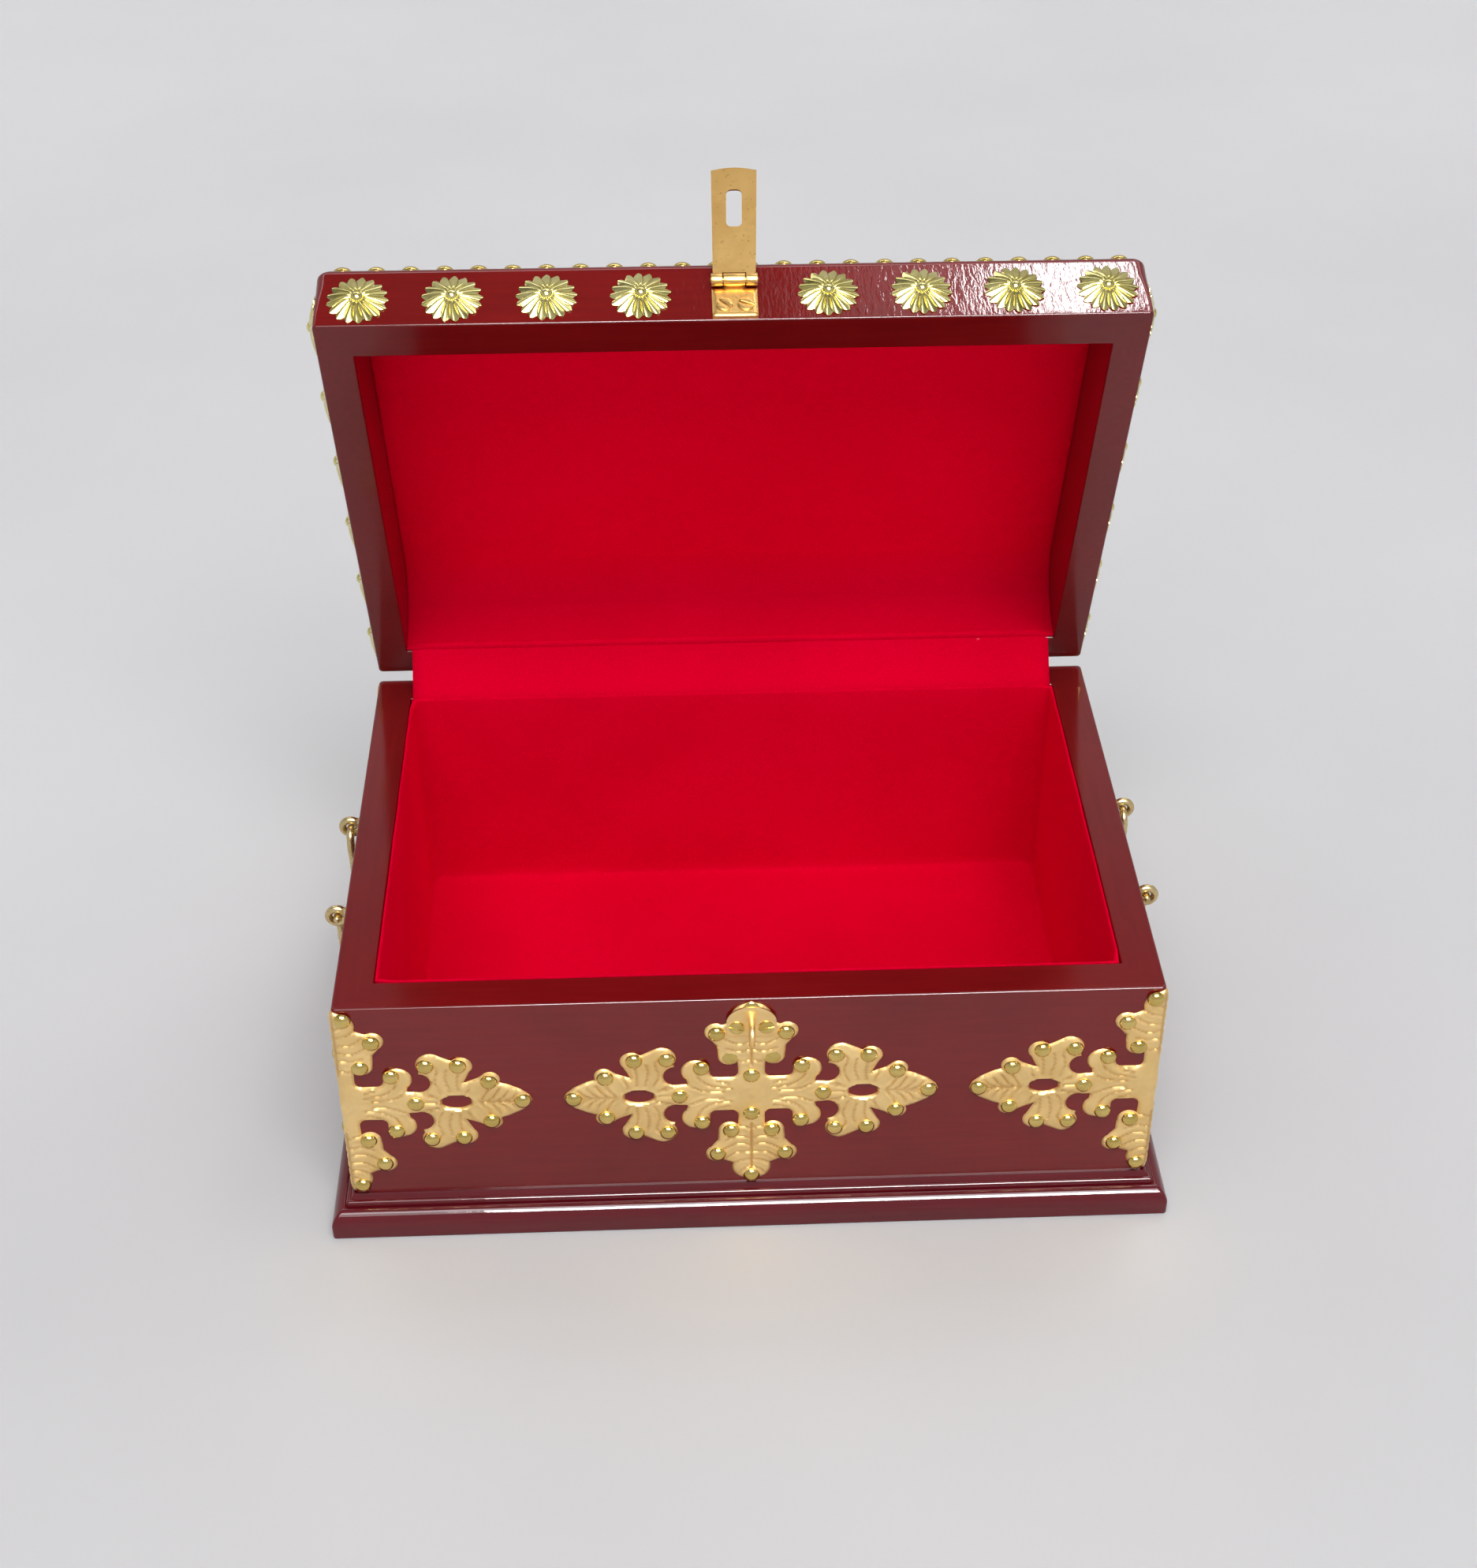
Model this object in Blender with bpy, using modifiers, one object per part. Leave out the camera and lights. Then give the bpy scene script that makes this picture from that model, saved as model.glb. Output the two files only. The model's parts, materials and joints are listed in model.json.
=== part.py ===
"""Hinged lacquered wooden casket with brass mounts and a red velvet lining, its lid standing open.

Metres, +Z up. The origin is the middle of the underside, +Y points to the back, +X to the right
as seen from the front. The case and the lid are drawn closed; the lid, the hasp strap and the
two bails hang from empties on their pivot axes, and turning an empty opens its piece.
"""

import math

import bmesh
import bpy
from mathutils import Matrix, Vector

MM = 0.001
GAP = 0.3 * MM
BORE_SPARE = 0.1 * MM  # a bore's radius over its pin's
SPARE = 2 * MM  # how far a piece runs past the envelope that trims it
TANGENT = 0.1 * MM  # keeps a plate's face off the face of the barrel that it runs into

# Case
WIDTH = 305 * MM
DEPTH = 214 * MM
RIM = 109 * MM
WALL = 14.5 * MM
BOTTOM = 11.5 * MM
CASE_ROUNDING = 1.0 * MM
PLINTH_HEIGHT = 16 * MM
PLINTH_OUT = 9 * MM
FASCIA = 5.4 * MM
NOSING = 5.0 * MM
NOSING_RISE = 6.1 * MM
GROOVE = 11.5 * MM
BEAD = 1.0 * MM
COVE = 2.3 * MM

# Lid, measured from its own rim
LID_CLEARANCE = 0.4 * MM
LID_OPEN = math.radians(69)
LID_EDGE = 28 * MM
LID_HEIGHT = 49.5 * MM
LID_SLOPE = math.radians(30)
LID_ROUNDING = 2.3 * MM
LID_RIM_ROUNDING = 0.8 * MM
LID_SIDE_RAIL = 13.5 * MM
LID_FRONT_RAIL = 16 * MM
LID_BACK_RAIL = 14.5 * MM
BOARD_SEAT = 34.1 * MM

# Velvet
VELVET = 1.0 * MM
VELVET_FOOT = 2.4 * MM
FLAP_SAG = 1.2 * MM

# Back hinges
HINGE_OUT = 2.9 * MM
HINGE_X = 95 * MM
HINGE_WIDTH = 38 * MM
HINGE_HEIGHT = 20 * MM
HINGE_BARREL = 2.5 * MM
HINGE_PIN = 1.1 * MM
HINGE_KNUCKLES = (-19 * MM, -6.5 * MM, 6.5 * MM, 19 * MM)

# Hasp
LEAF_WIDTH = 16.6 * MM
LEAF_FOOT = 1.2 * MM
LEAF_TOP = 14.2 * MM
HASP_AXIS_Z = 17.2 * MM
HASP_AXIS_OUT = 2.8 * MM
HASP_BARREL = 2.4 * MM
HASP_PIN = 1.0 * MM
HASP_OPEN = math.radians(168)
HASP_KNUCKLES = (-8.5 * MM, -4.2 * MM, 4.2 * MM, 8.5 * MM)
STRAP_LENGTH = 48.3 * MM
STRAP_BASE = 15.6 * MM
STRAP_TIP = 17.0 * MM
STRAP_BOW = 1.2 * MM
STRAP_LEAN = 1.3 * MM  # how far its tip stands to the right of its root
SLOT_NEAR = 22.7 * MM
SLOT_FAR = 38.7 * MM
SLOT_WIDTH = 5.8 * MM
SLOT_CORNER = 1.8 * MM
STAPLE_DROP = 12.3 * MM
STAPLE_PLATE_WIDTH = 18.6 * MM
STAPLE_PLATE_TOP = 2.7 * MM
STAPLE_PLATE_FOOT = 17.2 * MM
STAPLE_SHOULDER = 9 * MM
STAPLE_LEGS = 7.4 * MM
STAPLE_WIRE = 1.2 * MM
STAPLE_REACH = 10.6 * MM
SHEET = 1.0 * MM
STRAP_SHEET = 1.2 * MM

# Stamped brass crosses
CROSS_DROP = 46.6 * MM
CROSS_TIP = 45.6 * MM
CROSS_REACH = 70.2 * MM
CROSS_SHEET = 0.9 * MM

# Flower bosses
BOSS_RADIUS = 11.2 * MM
BOSS_STEPS = 18
BOSS_UP = 12.3 * MM  # its centre above the lid's rim
BOSS_FRONT_PITCH = 34.15 * MM
BOSS_SIDE_FIRST = 13 * MM
BOSS_SIDE_PITCH = 37.6 * MM

# Drop handles
HANDLE_DROP = 13 * MM
HANDLE_Y = -8.5 * MM
HANDLE_SPAN = 57 * MM
POST_SHEET = 1.3 * MM
RING_OUT = 5.4 * MM
RING_RADIUS = 3.4 * MM
RING_WIRE = 1.1 * MM
BAIL_WIRE = 1.45 * MM
BAIL_DROP = 27 * MM

HINGE_AXIS = Vector((0, DEPTH / 2 + HINGE_OUT, RIM + LID_CLEARANCE / 2))
LID_RIM = RIM + LID_CLEARANCE
HASP_AXIS = Vector((0, -DEPTH / 2 - HASP_AXIS_OUT, LID_RIM + HASP_AXIS_Z))
SIDES = ("front", "right", "back", "left")


# ---------------------------------------------------------------- scene helpers


def clear_scene():
    for obj in list(bpy.data.objects):
        bpy.data.objects.remove(obj, do_unlink=True)


def new_collection(name):
    collection = bpy.data.collections.new(name)
    bpy.context.scene.collection.children.link(collection)
    return collection


def new_material(name, colour, roughness, metallic):
    material = bpy.data.materials.new(name)
    material.use_nodes = True
    shader = material.node_tree.nodes["Principled BSDF"]
    shader.inputs["Base Color"].default_value = (*colour, 1)
    shader.inputs["Roughness"].default_value = roughness
    shader.inputs["Metallic"].default_value = metallic
    return material


def new_pivot(name, location, parent=None):
    """An empty on a joint's axis, placed where the axis lies with the casket shut."""
    pivot = bpy.data.objects.new(name, None)
    parts.objects.link(pivot)
    pivot.location = location
    if parent:
        hang(pivot, parent)
    return pivot


def hang(obj, pivot):
    """Parents a piece that is drawn in its shut place to a pivot at its shut place."""
    obj.parent = pivot
    shut = Matrix.Translation(pivot["shut"]) if "shut" in pivot else Matrix.Identity(4)
    obj.matrix_parent_inverse = shut.inverted()


def mark_shut(pivot, place):
    pivot["shut"] = place


def add_piece(name, mesh, material, pivot=None, collection=None):
    obj = bpy.data.objects.new(name, mesh)
    (collection or parts).objects.link(obj)
    if material:
        mesh.materials.clear()
        mesh.materials.append(material)
    if pivot:
        hang(obj, pivot)
    return obj


def finish_mesh(name, bm, smooth_angle=None):
    bmesh.ops.recalc_face_normals(bm, faces=bm.faces)
    mesh = bpy.data.meshes.new(name)
    bm.to_mesh(mesh)
    bm.free()
    if smooth_angle:
        mesh.shade_smooth()
        mesh.set_sharp_from_angle(angle=smooth_angle)
    return mesh


def add_cutter(name, mesh):
    cutter = add_piece(name, mesh, None, collection=cutters)
    cutter.hide_render = True
    cutter.display_type = "WIRE"
    return cutter


def boolean(obj, other, operation):
    modifier = obj.modifiers.new(operation.title() + "_" + other.name, "BOOLEAN")
    modifier.operation = operation
    modifier.object = other


def baked(obj):
    """The object's evaluated shape as a plain mesh, so that a shape made of several can be shared."""
    graph = bpy.context.evaluated_depsgraph_get()
    return bpy.data.meshes.new_from_object(obj.evaluated_get(graph))


# ---------------------------------------------------------------- shape helpers


def box_bmesh(low, high):
    low = Vector(low)
    high = Vector(high)
    size = Matrix.Diagonal((*(high - low), 1))
    bm = bmesh.new()
    bmesh.ops.create_cube(bm, size=1, matrix=Matrix.Translation((low + high) / 2) @ size)
    return bm


def add_box(name, low, high, material, pivot=None, rounding=0):
    bm = box_bmesh(low, high)
    if rounding:
        bmesh.ops.bevel(bm, geom=bm.edges[:], offset=rounding, segments=1, affect="EDGES")
    return add_piece(name, finish_mesh(name, bm), material, pivot)


def add_rod(bm, start, end, radius, segments=16):
    """Adds a capped cylinder between two points to a bmesh."""
    start = Vector(start)
    along = Vector(end) - start
    turn = along.to_track_quat("Z", "Y").to_matrix().to_4x4()
    place = Matrix.Translation(start + along / 2) @ turn
    bmesh.ops.create_cone(
        bm,
        cap_ends=True,
        segments=segments,
        radius1=radius,
        radius2=radius,
        depth=along.length,
        matrix=place,
    )


def rod_mesh(name, start, end, radius, segments=16):
    bm = bmesh.new()
    add_rod(bm, start, end, radius, segments)
    return finish_mesh(name, bm, math.radians(40))


def arc(centre, radius, first, last, steps):
    """Points of a round stretch, with its two ends, angles in degrees."""
    points = []
    for i in range(steps + 1):
        angle = math.radians(first + (last - first) * i / steps)
        points.append((centre[0] + radius * math.cos(angle), centre[1] + radius * math.sin(angle)))
    return points


def plate_bmesh(outline, thickness, holes=()):
    """A flat plate in the XZ plane, its outer face at y = -thickness and its back at y = 0."""
    curve = bpy.data.curves.new("outline", "CURVE")
    curve.dimensions = "2D"
    curve.fill_mode = "BOTH"
    curve.extrude = thickness / 2
    for ring in (outline, *holes):
        spline = curve.splines.new("POLY")
        spline.points.add(len(ring) - 1)
        for point, (x, z) in zip(spline.points, ring):
            point.co = (x, z, 0, 1)
        spline.use_cyclic_u = True
    obj = bpy.data.objects.new("outline", curve)
    cutters.objects.link(obj)
    mesh = baked(obj)
    bpy.data.objects.remove(obj)
    bm = bmesh.new()
    bm.from_mesh(mesh)
    bmesh.ops.remove_doubles(bm, verts=bm.verts, dist=1e-6)
    stand = Matrix.Translation((0, -thickness / 2, 0)) @ Matrix.Rotation(math.radians(90), 4, "X")
    bmesh.ops.transform(bm, matrix=stand, verts=bm.verts)
    bmesh.ops.recalc_face_normals(bm, faces=bm.faces)
    return bm


def tube_mesh(name, route, radius, resolution=2, swells=None):
    """A capped round tube along a list of points, with a radius factor at each point."""
    curve = bpy.data.curves.new(name, "CURVE")
    curve.dimensions = "3D"
    curve.bevel_depth = radius
    curve.bevel_resolution = resolution
    curve.use_fill_caps = True
    spline = curve.splines.new("POLY")
    spline.points.add(len(route) - 1)
    for i, place in enumerate(route):
        spline.points[i].co = (*place, 1)
        spline.points[i].radius = swells[i] if swells else 1
    obj = bpy.data.objects.new(name, curve)
    cutters.objects.link(obj)
    mesh = baked(obj)
    bpy.data.objects.remove(obj)
    bm = bmesh.new()
    bm.from_mesh(mesh)
    bmesh.ops.remove_doubles(bm, verts=bm.verts, dist=1e-6)
    return finish_mesh(name, bm, math.radians(50))


def side_matrix(side, height=0.0):
    """Takes a piece drawn on the front face (outer face y = 0, inwards +Y) to one side of the box."""
    half = {"front": DEPTH / 2, "back": DEPTH / 2, "left": WIDTH / 2, "right": WIDTH / 2}[side]
    turn = Matrix.Rotation(math.radians(90 * SIDES.index(side)), 4, "Z")
    return turn @ Matrix.Translation((0, -half, height))


def half_length(side):
    return WIDTH / 2 if side in ("front", "back") else DEPTH / 2


def mitred_bar(profile, side, mitres=(1, 1), height=0.0):
    """A frame member of one section, (inset, height) points, its ends cut to meet its neighbours.

    mitres gives how far its first and its last end step back per unit of inset.
    """
    bm = bmesh.new()
    face = bm.faces.new([bm.verts.new((-1, inset, up)) for inset, up in profile])
    grown = bmesh.ops.extrude_face_region(bm, geom=[face])
    for vert in [v for v in grown["geom"] if isinstance(v, bmesh.types.BMVert)]:
        vert.co.x = 1
    for vert in bm.verts:
        end = half_length(side) - GAP / 2
        mitre = mitres[0] if vert.co.x < 0 else mitres[1]
        vert.co.x = math.copysign(end - vert.co.y * mitre, vert.co.x)
    bmesh.ops.transform(bm, matrix=side_matrix(side, height), verts=bm.verts)
    return bm


# ---------------------------------------------------------------- case


def case_envelope():
    """The outside of the four walls together, with its rounded corners and rim."""
    low = (-WIDTH / 2, -DEPTH / 2, -WALL)
    bm = box_bmesh(low, (WIDTH / 2, DEPTH / 2, RIM))
    edges = [e for e in bm.edges if max(v.co.z for v in e.verts) > 0]
    bmesh.ops.bevel(bm, geom=edges, offset=CASE_ROUNDING, segments=2, affect="EDGES", profile=0.5)
    return add_cutter("case_envelope", finish_mesh("case_envelope", bm))


def add_case_walls():
    """Each wall is a bar with mitred ends, oversize outside and above, trimmed by the envelope."""
    envelope = case_envelope()
    section = [(-SPARE, 0), (WALL, 0), (WALL, RIM + SPARE), (-SPARE, RIM + SPARE)]
    for side in SIDES:
        bm = mitred_bar(section, side)
        wall = add_piece("wall_" + side, finish_mesh("wall_" + side, bm), wood)
        boolean(wall, envelope, "INTERSECT")


def add_bottom_board():
    x = WIDTH / 2 - WALL - GAP
    y = DEPTH / 2 - WALL - GAP
    add_box("bottom_board", (-x, -y, 0), (x, y, BOTTOM), wood, rounding=0.4 * MM)


def plinth_section():
    """Flat fascia, quarter round, groove, bead and cove, drawn outwards as negative inset."""
    bead_out = 2.1 * BEAD
    outline = [(GAP, 0), (PLINTH_OUT, 0)]
    for out, up in arc((0, 0), 1, 0, 90, 8):
        outline.append((PLINTH_OUT - NOSING + NOSING * out, FASCIA + NOSING_RISE * up))
    outline += [(bead_out + 1.1 * BEAD, GROOVE)]
    outline += arc((bead_out, GROOVE + 1.3 * BEAD), BEAD, -20, 120, 5)
    outline += arc((COVE + GAP, PLINTH_HEIGHT + GAP), COVE, 250, 190, 4)
    outline += [(GAP, PLINTH_HEIGHT)]
    return [(-out, height) for out, height in outline]


def add_plinth():
    section = plinth_section()
    for side in SIDES:
        bm = mitred_bar(section, side)
        mesh = finish_mesh("plinth_" + side, bm, math.radians(35))
        add_piece("plinth_" + side, mesh, wood)


# ---------------------------------------------------------------- lid


def lid_envelope():
    """The outside of the shut lid: upright faces, a slope all round and a flat top, all rounded."""
    bm = box_bmesh((-WIDTH / 2, -DEPTH / 2, 0), (WIDTH / 2, DEPTH / 2, LID_EDGE))
    top = max(bm.faces, key=lambda f: f.calc_center_median().z)
    grown = bmesh.ops.extrude_face_region(bm, geom=[top])
    bmesh.ops.delete(bm, geom=[top], context="FACES_ONLY")
    run = (LID_HEIGHT - LID_EDGE) / math.tan(LID_SLOPE)
    for vert in [v for v in grown["geom"] if isinstance(v, bmesh.types.BMVert)]:
        vert.co.x -= math.copysign(run, vert.co.x)
        vert.co.y -= math.copysign(run, vert.co.y)
        vert.co.z = LID_HEIGHT
    rim = [e for e in bm.edges if max(v.co.z for v in e.verts) < MM]
    others = [e for e in bm.edges if e not in rim]
    bmesh.ops.bevel(bm, geom=others, offset=LID_ROUNDING, segments=3, affect="EDGES", profile=0.5)
    rim = [e for e in bm.edges if max(v.co.z for v in e.verts) < 0.1 * MM]
    bmesh.ops.bevel(bm, geom=rim, offset=LID_RIM_ROUNDING, segments=2, affect="EDGES", profile=0.5)
    bmesh.ops.translate(bm, vec=(0, 0, LID_RIM), verts=bm.verts)
    cutter = add_cutter("lid_envelope", finish_mesh("lid_envelope", bm))
    hang(cutter, lid_pivot)  # a Boolean works on shapes where they stand, so it opens with the lid
    return cutter


def rail_thickness(side):
    return {"front": LID_FRONT_RAIL, "back": LID_BACK_RAIL}.get(side, LID_SIDE_RAIL)


def add_lid_rails(envelope):
    """Four rails, flat on top where the top board sits and sloped outside it."""
    for i, side in enumerate(SIDES):
        thick = rail_thickness(side)
        mitres = (rail_thickness(SIDES[i - 1]) / thick, rail_thickness(SIDES[(i + 1) % 4]) / thick)
        section = [(-SPARE, -SPARE), (thick, -SPARE), (thick, BOARD_SEAT), (-SPARE, BOARD_SEAT)]
        bm = mitred_bar(section, side, mitres, LID_RIM)
        rail = add_piece("lid_rail_" + side, finish_mesh("lid_rail_" + side, bm), wood, lid_pivot)
        boolean(rail, envelope, "INTERSECT")


def add_lid_top_board(envelope):
    """The board on top of the rails, planed to the same slope as they are."""
    x = WIDTH / 2 + SPARE
    y = DEPTH / 2 + SPARE
    low = (-x, -y, LID_RIM + BOARD_SEAT + GAP)
    bm = box_bmesh(low, (x, y, LID_RIM + LID_HEIGHT + SPARE))
    board = add_piece("lid_top_board", finish_mesh("lid_top_board", bm), wood, lid_pivot)
    boolean(board, envelope, "INTERSECT")


# ---------------------------------------------------------------- velvet


def add_lining_walls():
    """A thin ring against the walls, a little thicker at its foot than at the rim."""
    x = WIDTH / 2 - WALL - GAP
    y = DEPTH / 2 - WALL - GAP
    foot = BOTTOM + GAP + VELVET + GAP
    top = RIM - GAP
    ring = box_bmesh((-x, -y, foot), (x, y, top))
    lining = add_piece("lining_walls", finish_mesh("lining_walls", ring), velvet)
    hollow = box_bmesh((-x, -y, foot - MM), (x, y, top + MM))
    for vert in hollow.verts:
        inset = VELVET if vert.co.z > foot else VELVET_FOOT
        vert.co.x -= math.copysign(inset, vert.co.x)
        vert.co.y -= math.copysign(inset, vert.co.y)
    cutter = add_cutter("lining_hollow", finish_mesh("lining_hollow", hollow))
    boolean(lining, cutter, "DIFFERENCE")


def add_lining_floor():
    x = WIDTH / 2 - WALL - GAP
    y = DEPTH / 2 - WALL - GAP
    low = BOTTOM + GAP
    add_box("lining_floor", (-x, -y, low), (x, y, low + VELVET), velvet)


def add_lid_lining():
    """The covered panel under the top board, turned down over the inside of the back rail."""
    x = WIDTH / 2 - LID_SIDE_RAIL - GAP
    front = -DEPTH / 2 + LID_FRONT_RAIL + GAP
    back = DEPTH / 2 - LID_BACK_RAIL - GAP
    top = LID_RIM + BOARD_SEAT - GAP / 2
    under = top - VELVET
    rim = LID_RIM + GAP
    section = [
        (front, under),
        (back - VELVET, under),
        (back - VELVET, rim),
        (back, rim),
        (back, top),
        (front, top),
    ]
    add_piece("lid_lining", extruded("lid_lining", section, x), velvet, lid_pivot)


def extruded(name, section, half):
    """A prism along X from a section in the YZ plane."""
    bm = bmesh.new()
    face = bm.faces.new([bm.verts.new((-half, y, z)) for y, z in section])
    grown = bmesh.ops.extrude_face_region(bm, geom=[face])
    ends = [v for v in grown["geom"] if isinstance(v, bmesh.types.BMVert)]
    bmesh.ops.translate(bm, vec=(2 * half, 0, 0), verts=ends)
    return finish_mesh(name, bm)


def opened(y, z):
    """Where a point of the shut lid's cross-section stands when the lid is open."""
    turn = Matrix.Rotation(-LID_OPEN, 3, "X")
    place = HINGE_AXIS + turn @ (Vector((0, y, z)) - HINGE_AXIS)
    return place.y, place.z


def add_hinge_flap():
    """The strip of velvet that hides the joint, from the case's back wall to the lid's back rail."""
    x = WIDTH / 2 - WALL - GAP - VELVET
    start = Vector((DEPTH / 2 - WALL - GAP - VELVET / 2, RIM + VELVET))
    end = Vector(opened(DEPTH / 2 - LID_BACK_RAIL - GAP - VELVET / 2, LID_RIM - 2 * GAP))
    across = (end - start).orthogonal().normalized()
    steps = 6
    middle = []
    for i in range(steps + 1):
        t = i / steps
        sag = FLAP_SAG * math.sin(math.pi * t)
        middle.append(start.lerp(end, t) - across * math.copysign(sag, across.x))
    half = across * VELVET / 2
    section = [(p + half)[:] for p in middle] + [(p - half)[:] for p in reversed(middle)]
    add_piece("hinge_flap", extruded("hinge_flap", section, x), velvet)


# ---------------------------------------------------------------- hinges


def knuckle_spans(knuckles, outer):
    """The stretches of barrel that one leaf owns: the outer ones or the middle one."""
    first, second, third, fourth = knuckles
    if outer:
        return ((first, second - GAP / 2), (third + GAP / 2, fourth))
    return ((second + GAP / 2, third - GAP / 2),)


def join_into(bm_list, name):
    """Unites several closed shapes into one body and gives its mesh."""
    first = add_cutter(name + "_base", finish_mesh(name, bm_list[0]))
    for i, bm in enumerate(bm_list[1:]):
        other = add_cutter(name + "_add" + str(i), finish_mesh(name, bm))
        boolean(first, other, "UNION")
    mesh = baked(first)
    return mesh


def bored(mesh, name, start, end, radius):
    """The mesh with a round hole from start to end."""
    holder = add_cutter(name + "_solid", mesh)
    drill = add_cutter(name + "_drill", rod_mesh(name + "_drill", start, end, radius))
    boolean(holder, drill, "DIFFERENCE")
    return baked(holder)


def hinge_leaf_mesh(name, x, above):
    """A leaf flat on the back face, with its share of the barrel, bored for the pin."""
    back = DEPTH / 2
    axis = HINGE_AXIS
    reach = HINGE_HEIGHT if above else -HINGE_HEIGHT
    clear = (HINGE_BARREL + 2 * GAP) * (1 if above else -1)
    low_z, high_z = sorted((axis.z + clear, axis.z + reach))
    y0 = back + GAP
    y1 = back + GAP + SHEET
    half = HINGE_WIDTH / 2
    shapes = [box_bmesh((x - half, y0, low_z), (x + half, y1, high_z))]
    for first, last in knuckle_spans(HINGE_KNUCKLES, not above):
        tab_low, tab_high = sorted((axis.z, axis.z + clear + math.copysign(GAP, clear)))
        shapes.append(box_bmesh((x + first, y0, tab_low), (x + last, y1, tab_high)))
        barrel = bmesh.new()
        add_rod(barrel, (x + first, axis.y, axis.z), (x + last, axis.y, axis.z), HINGE_BARREL)
        shapes.append(barrel)
    mesh = join_into(shapes, name)
    reach_x = half + MM
    bore = HINGE_PIN + BORE_SPARE
    start = (x - reach_x, axis.y, axis.z)
    return bored(mesh, name, start, (x + reach_x, axis.y, axis.z), bore)


def add_hinges():
    for label, x in (("left", -HINGE_X), ("right", HINGE_X)):
        name = "hinge_" + label
        add_piece(name + "_case_leaf", hinge_leaf_mesh(name + "_case_leaf", x, False), brass)
        mesh = hinge_leaf_mesh(name + "_lid_leaf", x, True)
        add_piece(name + "_lid_leaf", mesh, brass, lid_pivot)
        half = HINGE_WIDTH / 2
        axis = HINGE_AXIS
        start = (x - half, axis.y, axis.z)
        pin = rod_mesh(name + "_pin", start, (x + half, axis.y, axis.z), HINGE_PIN)
        add_piece(name + "_pin", pin, brass)


# ---------------------------------------------------------------- hasp


def add_hasp_leaf():
    """The screwed leaf on the lid's front face, with the middle knuckle."""
    face = -DEPTH / 2 - GAP
    half = LEAF_WIDTH / 2
    low = (-half, face - SHEET, LID_RIM + LEAF_FOOT)
    shapes = [box_bmesh(low, (half, face, LID_RIM + LEAF_TOP))]
    ((first, last),) = knuckle_spans(HASP_KNUCKLES, False)
    tab_low = LID_RIM + LEAF_TOP - MM
    shapes.append(box_bmesh((first, face - SHEET, tab_low), (last, face, HASP_AXIS.z)))
    barrel = bmesh.new()
    add_rod(barrel, (first, HASP_AXIS.y, HASP_AXIS.z), (last, HASP_AXIS.y, HASP_AXIS.z), HASP_BARREL)
    shapes.append(barrel)
    mesh = join_into(shapes, "hasp_leaf")
    mesh = bored(mesh, "hasp_leaf", *hasp_ends(LEAF_WIDTH), HASP_PIN + BORE_SPARE)
    add_piece("hasp_leaf", mesh, brass, lid_pivot)


def hasp_ends(width):
    reach = Vector((width / 2, 0, 0))
    return HASP_AXIS - reach, HASP_AXIS + reach


def leaning(outline):
    """The strap's outline sheared sideways, because its barrel is rolled a little out of true."""
    return [(x - STRAP_LEAN * min(z, 0) / STRAP_LENGTH, z) for x, z in outline]


def strap_outline():
    """The strap hanging from its axis at the origin: a slight taper and a bowed end."""
    base = STRAP_BASE / 2
    tip = STRAP_TIP / 2
    inner = HASP_KNUCKLES[2] + GAP / 2 + TANGENT
    notch = -HASP_BARREL - 2 * GAP
    end = -STRAP_LENGTH + STRAP_BOW
    outline = [(-base, 0), (-tip, end)]
    for i in range(1, 6):
        t = i / 6
        outline.append((tip * (2 * t - 1), end - STRAP_BOW * math.sin(math.pi * t)))
    outline += [(tip, end), (base, 0)]
    return leaning(outline) + [(inner, 0), (inner, notch), (-inner, notch), (-inner, 0)]


def slot_outline():
    """A long slot with rounded corners."""
    side = SLOT_WIDTH / 2 - SLOT_CORNER
    near = -SLOT_NEAR - SLOT_CORNER
    far = -SLOT_FAR + SLOT_CORNER
    outline = []
    for centre, first in (((side, near), 0), ((-side, near), 90), ((-side, far), 180), ((side, far), 270)):
        outline += arc(centre, SLOT_CORNER, first, first + 90, 3)
    return leaning(outline)


def add_hasp_strap():
    """The slotted strap that folds down over the staple, drawn hanging shut."""
    plate = plate_bmesh(strap_outline(), STRAP_SHEET, [slot_outline()])
    out = HASP_BARREL - STRAP_SHEET - TANGENT
    bmesh.ops.translate(plate, vec=HASP_AXIS - Vector((0, out, 0)), verts=plate.verts)
    shapes = [plate]
    for first, last in knuckle_spans(HASP_KNUCKLES, True):
        barrel = bmesh.new()
        start = (first, HASP_AXIS.y, HASP_AXIS.z)
        add_rod(barrel, start, (last, HASP_AXIS.y, HASP_AXIS.z), HASP_BARREL)
        shapes.append(barrel)
    mesh = join_into(shapes, "hasp_strap")
    width = HASP_KNUCKLES[3] * 2 + 2 * MM
    mesh = bored(mesh, "hasp_strap", *hasp_ends(width), HASP_PIN + BORE_SPARE)
    add_piece("hasp_strap", mesh, brass, hasp_pivot)


def add_hasp_pin():
    mesh = rod_mesh("hasp_pin", *hasp_ends(HASP_KNUCKLES[3] * 2), HASP_PIN)
    add_piece("hasp_pin", mesh, brass, lid_pivot)


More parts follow.
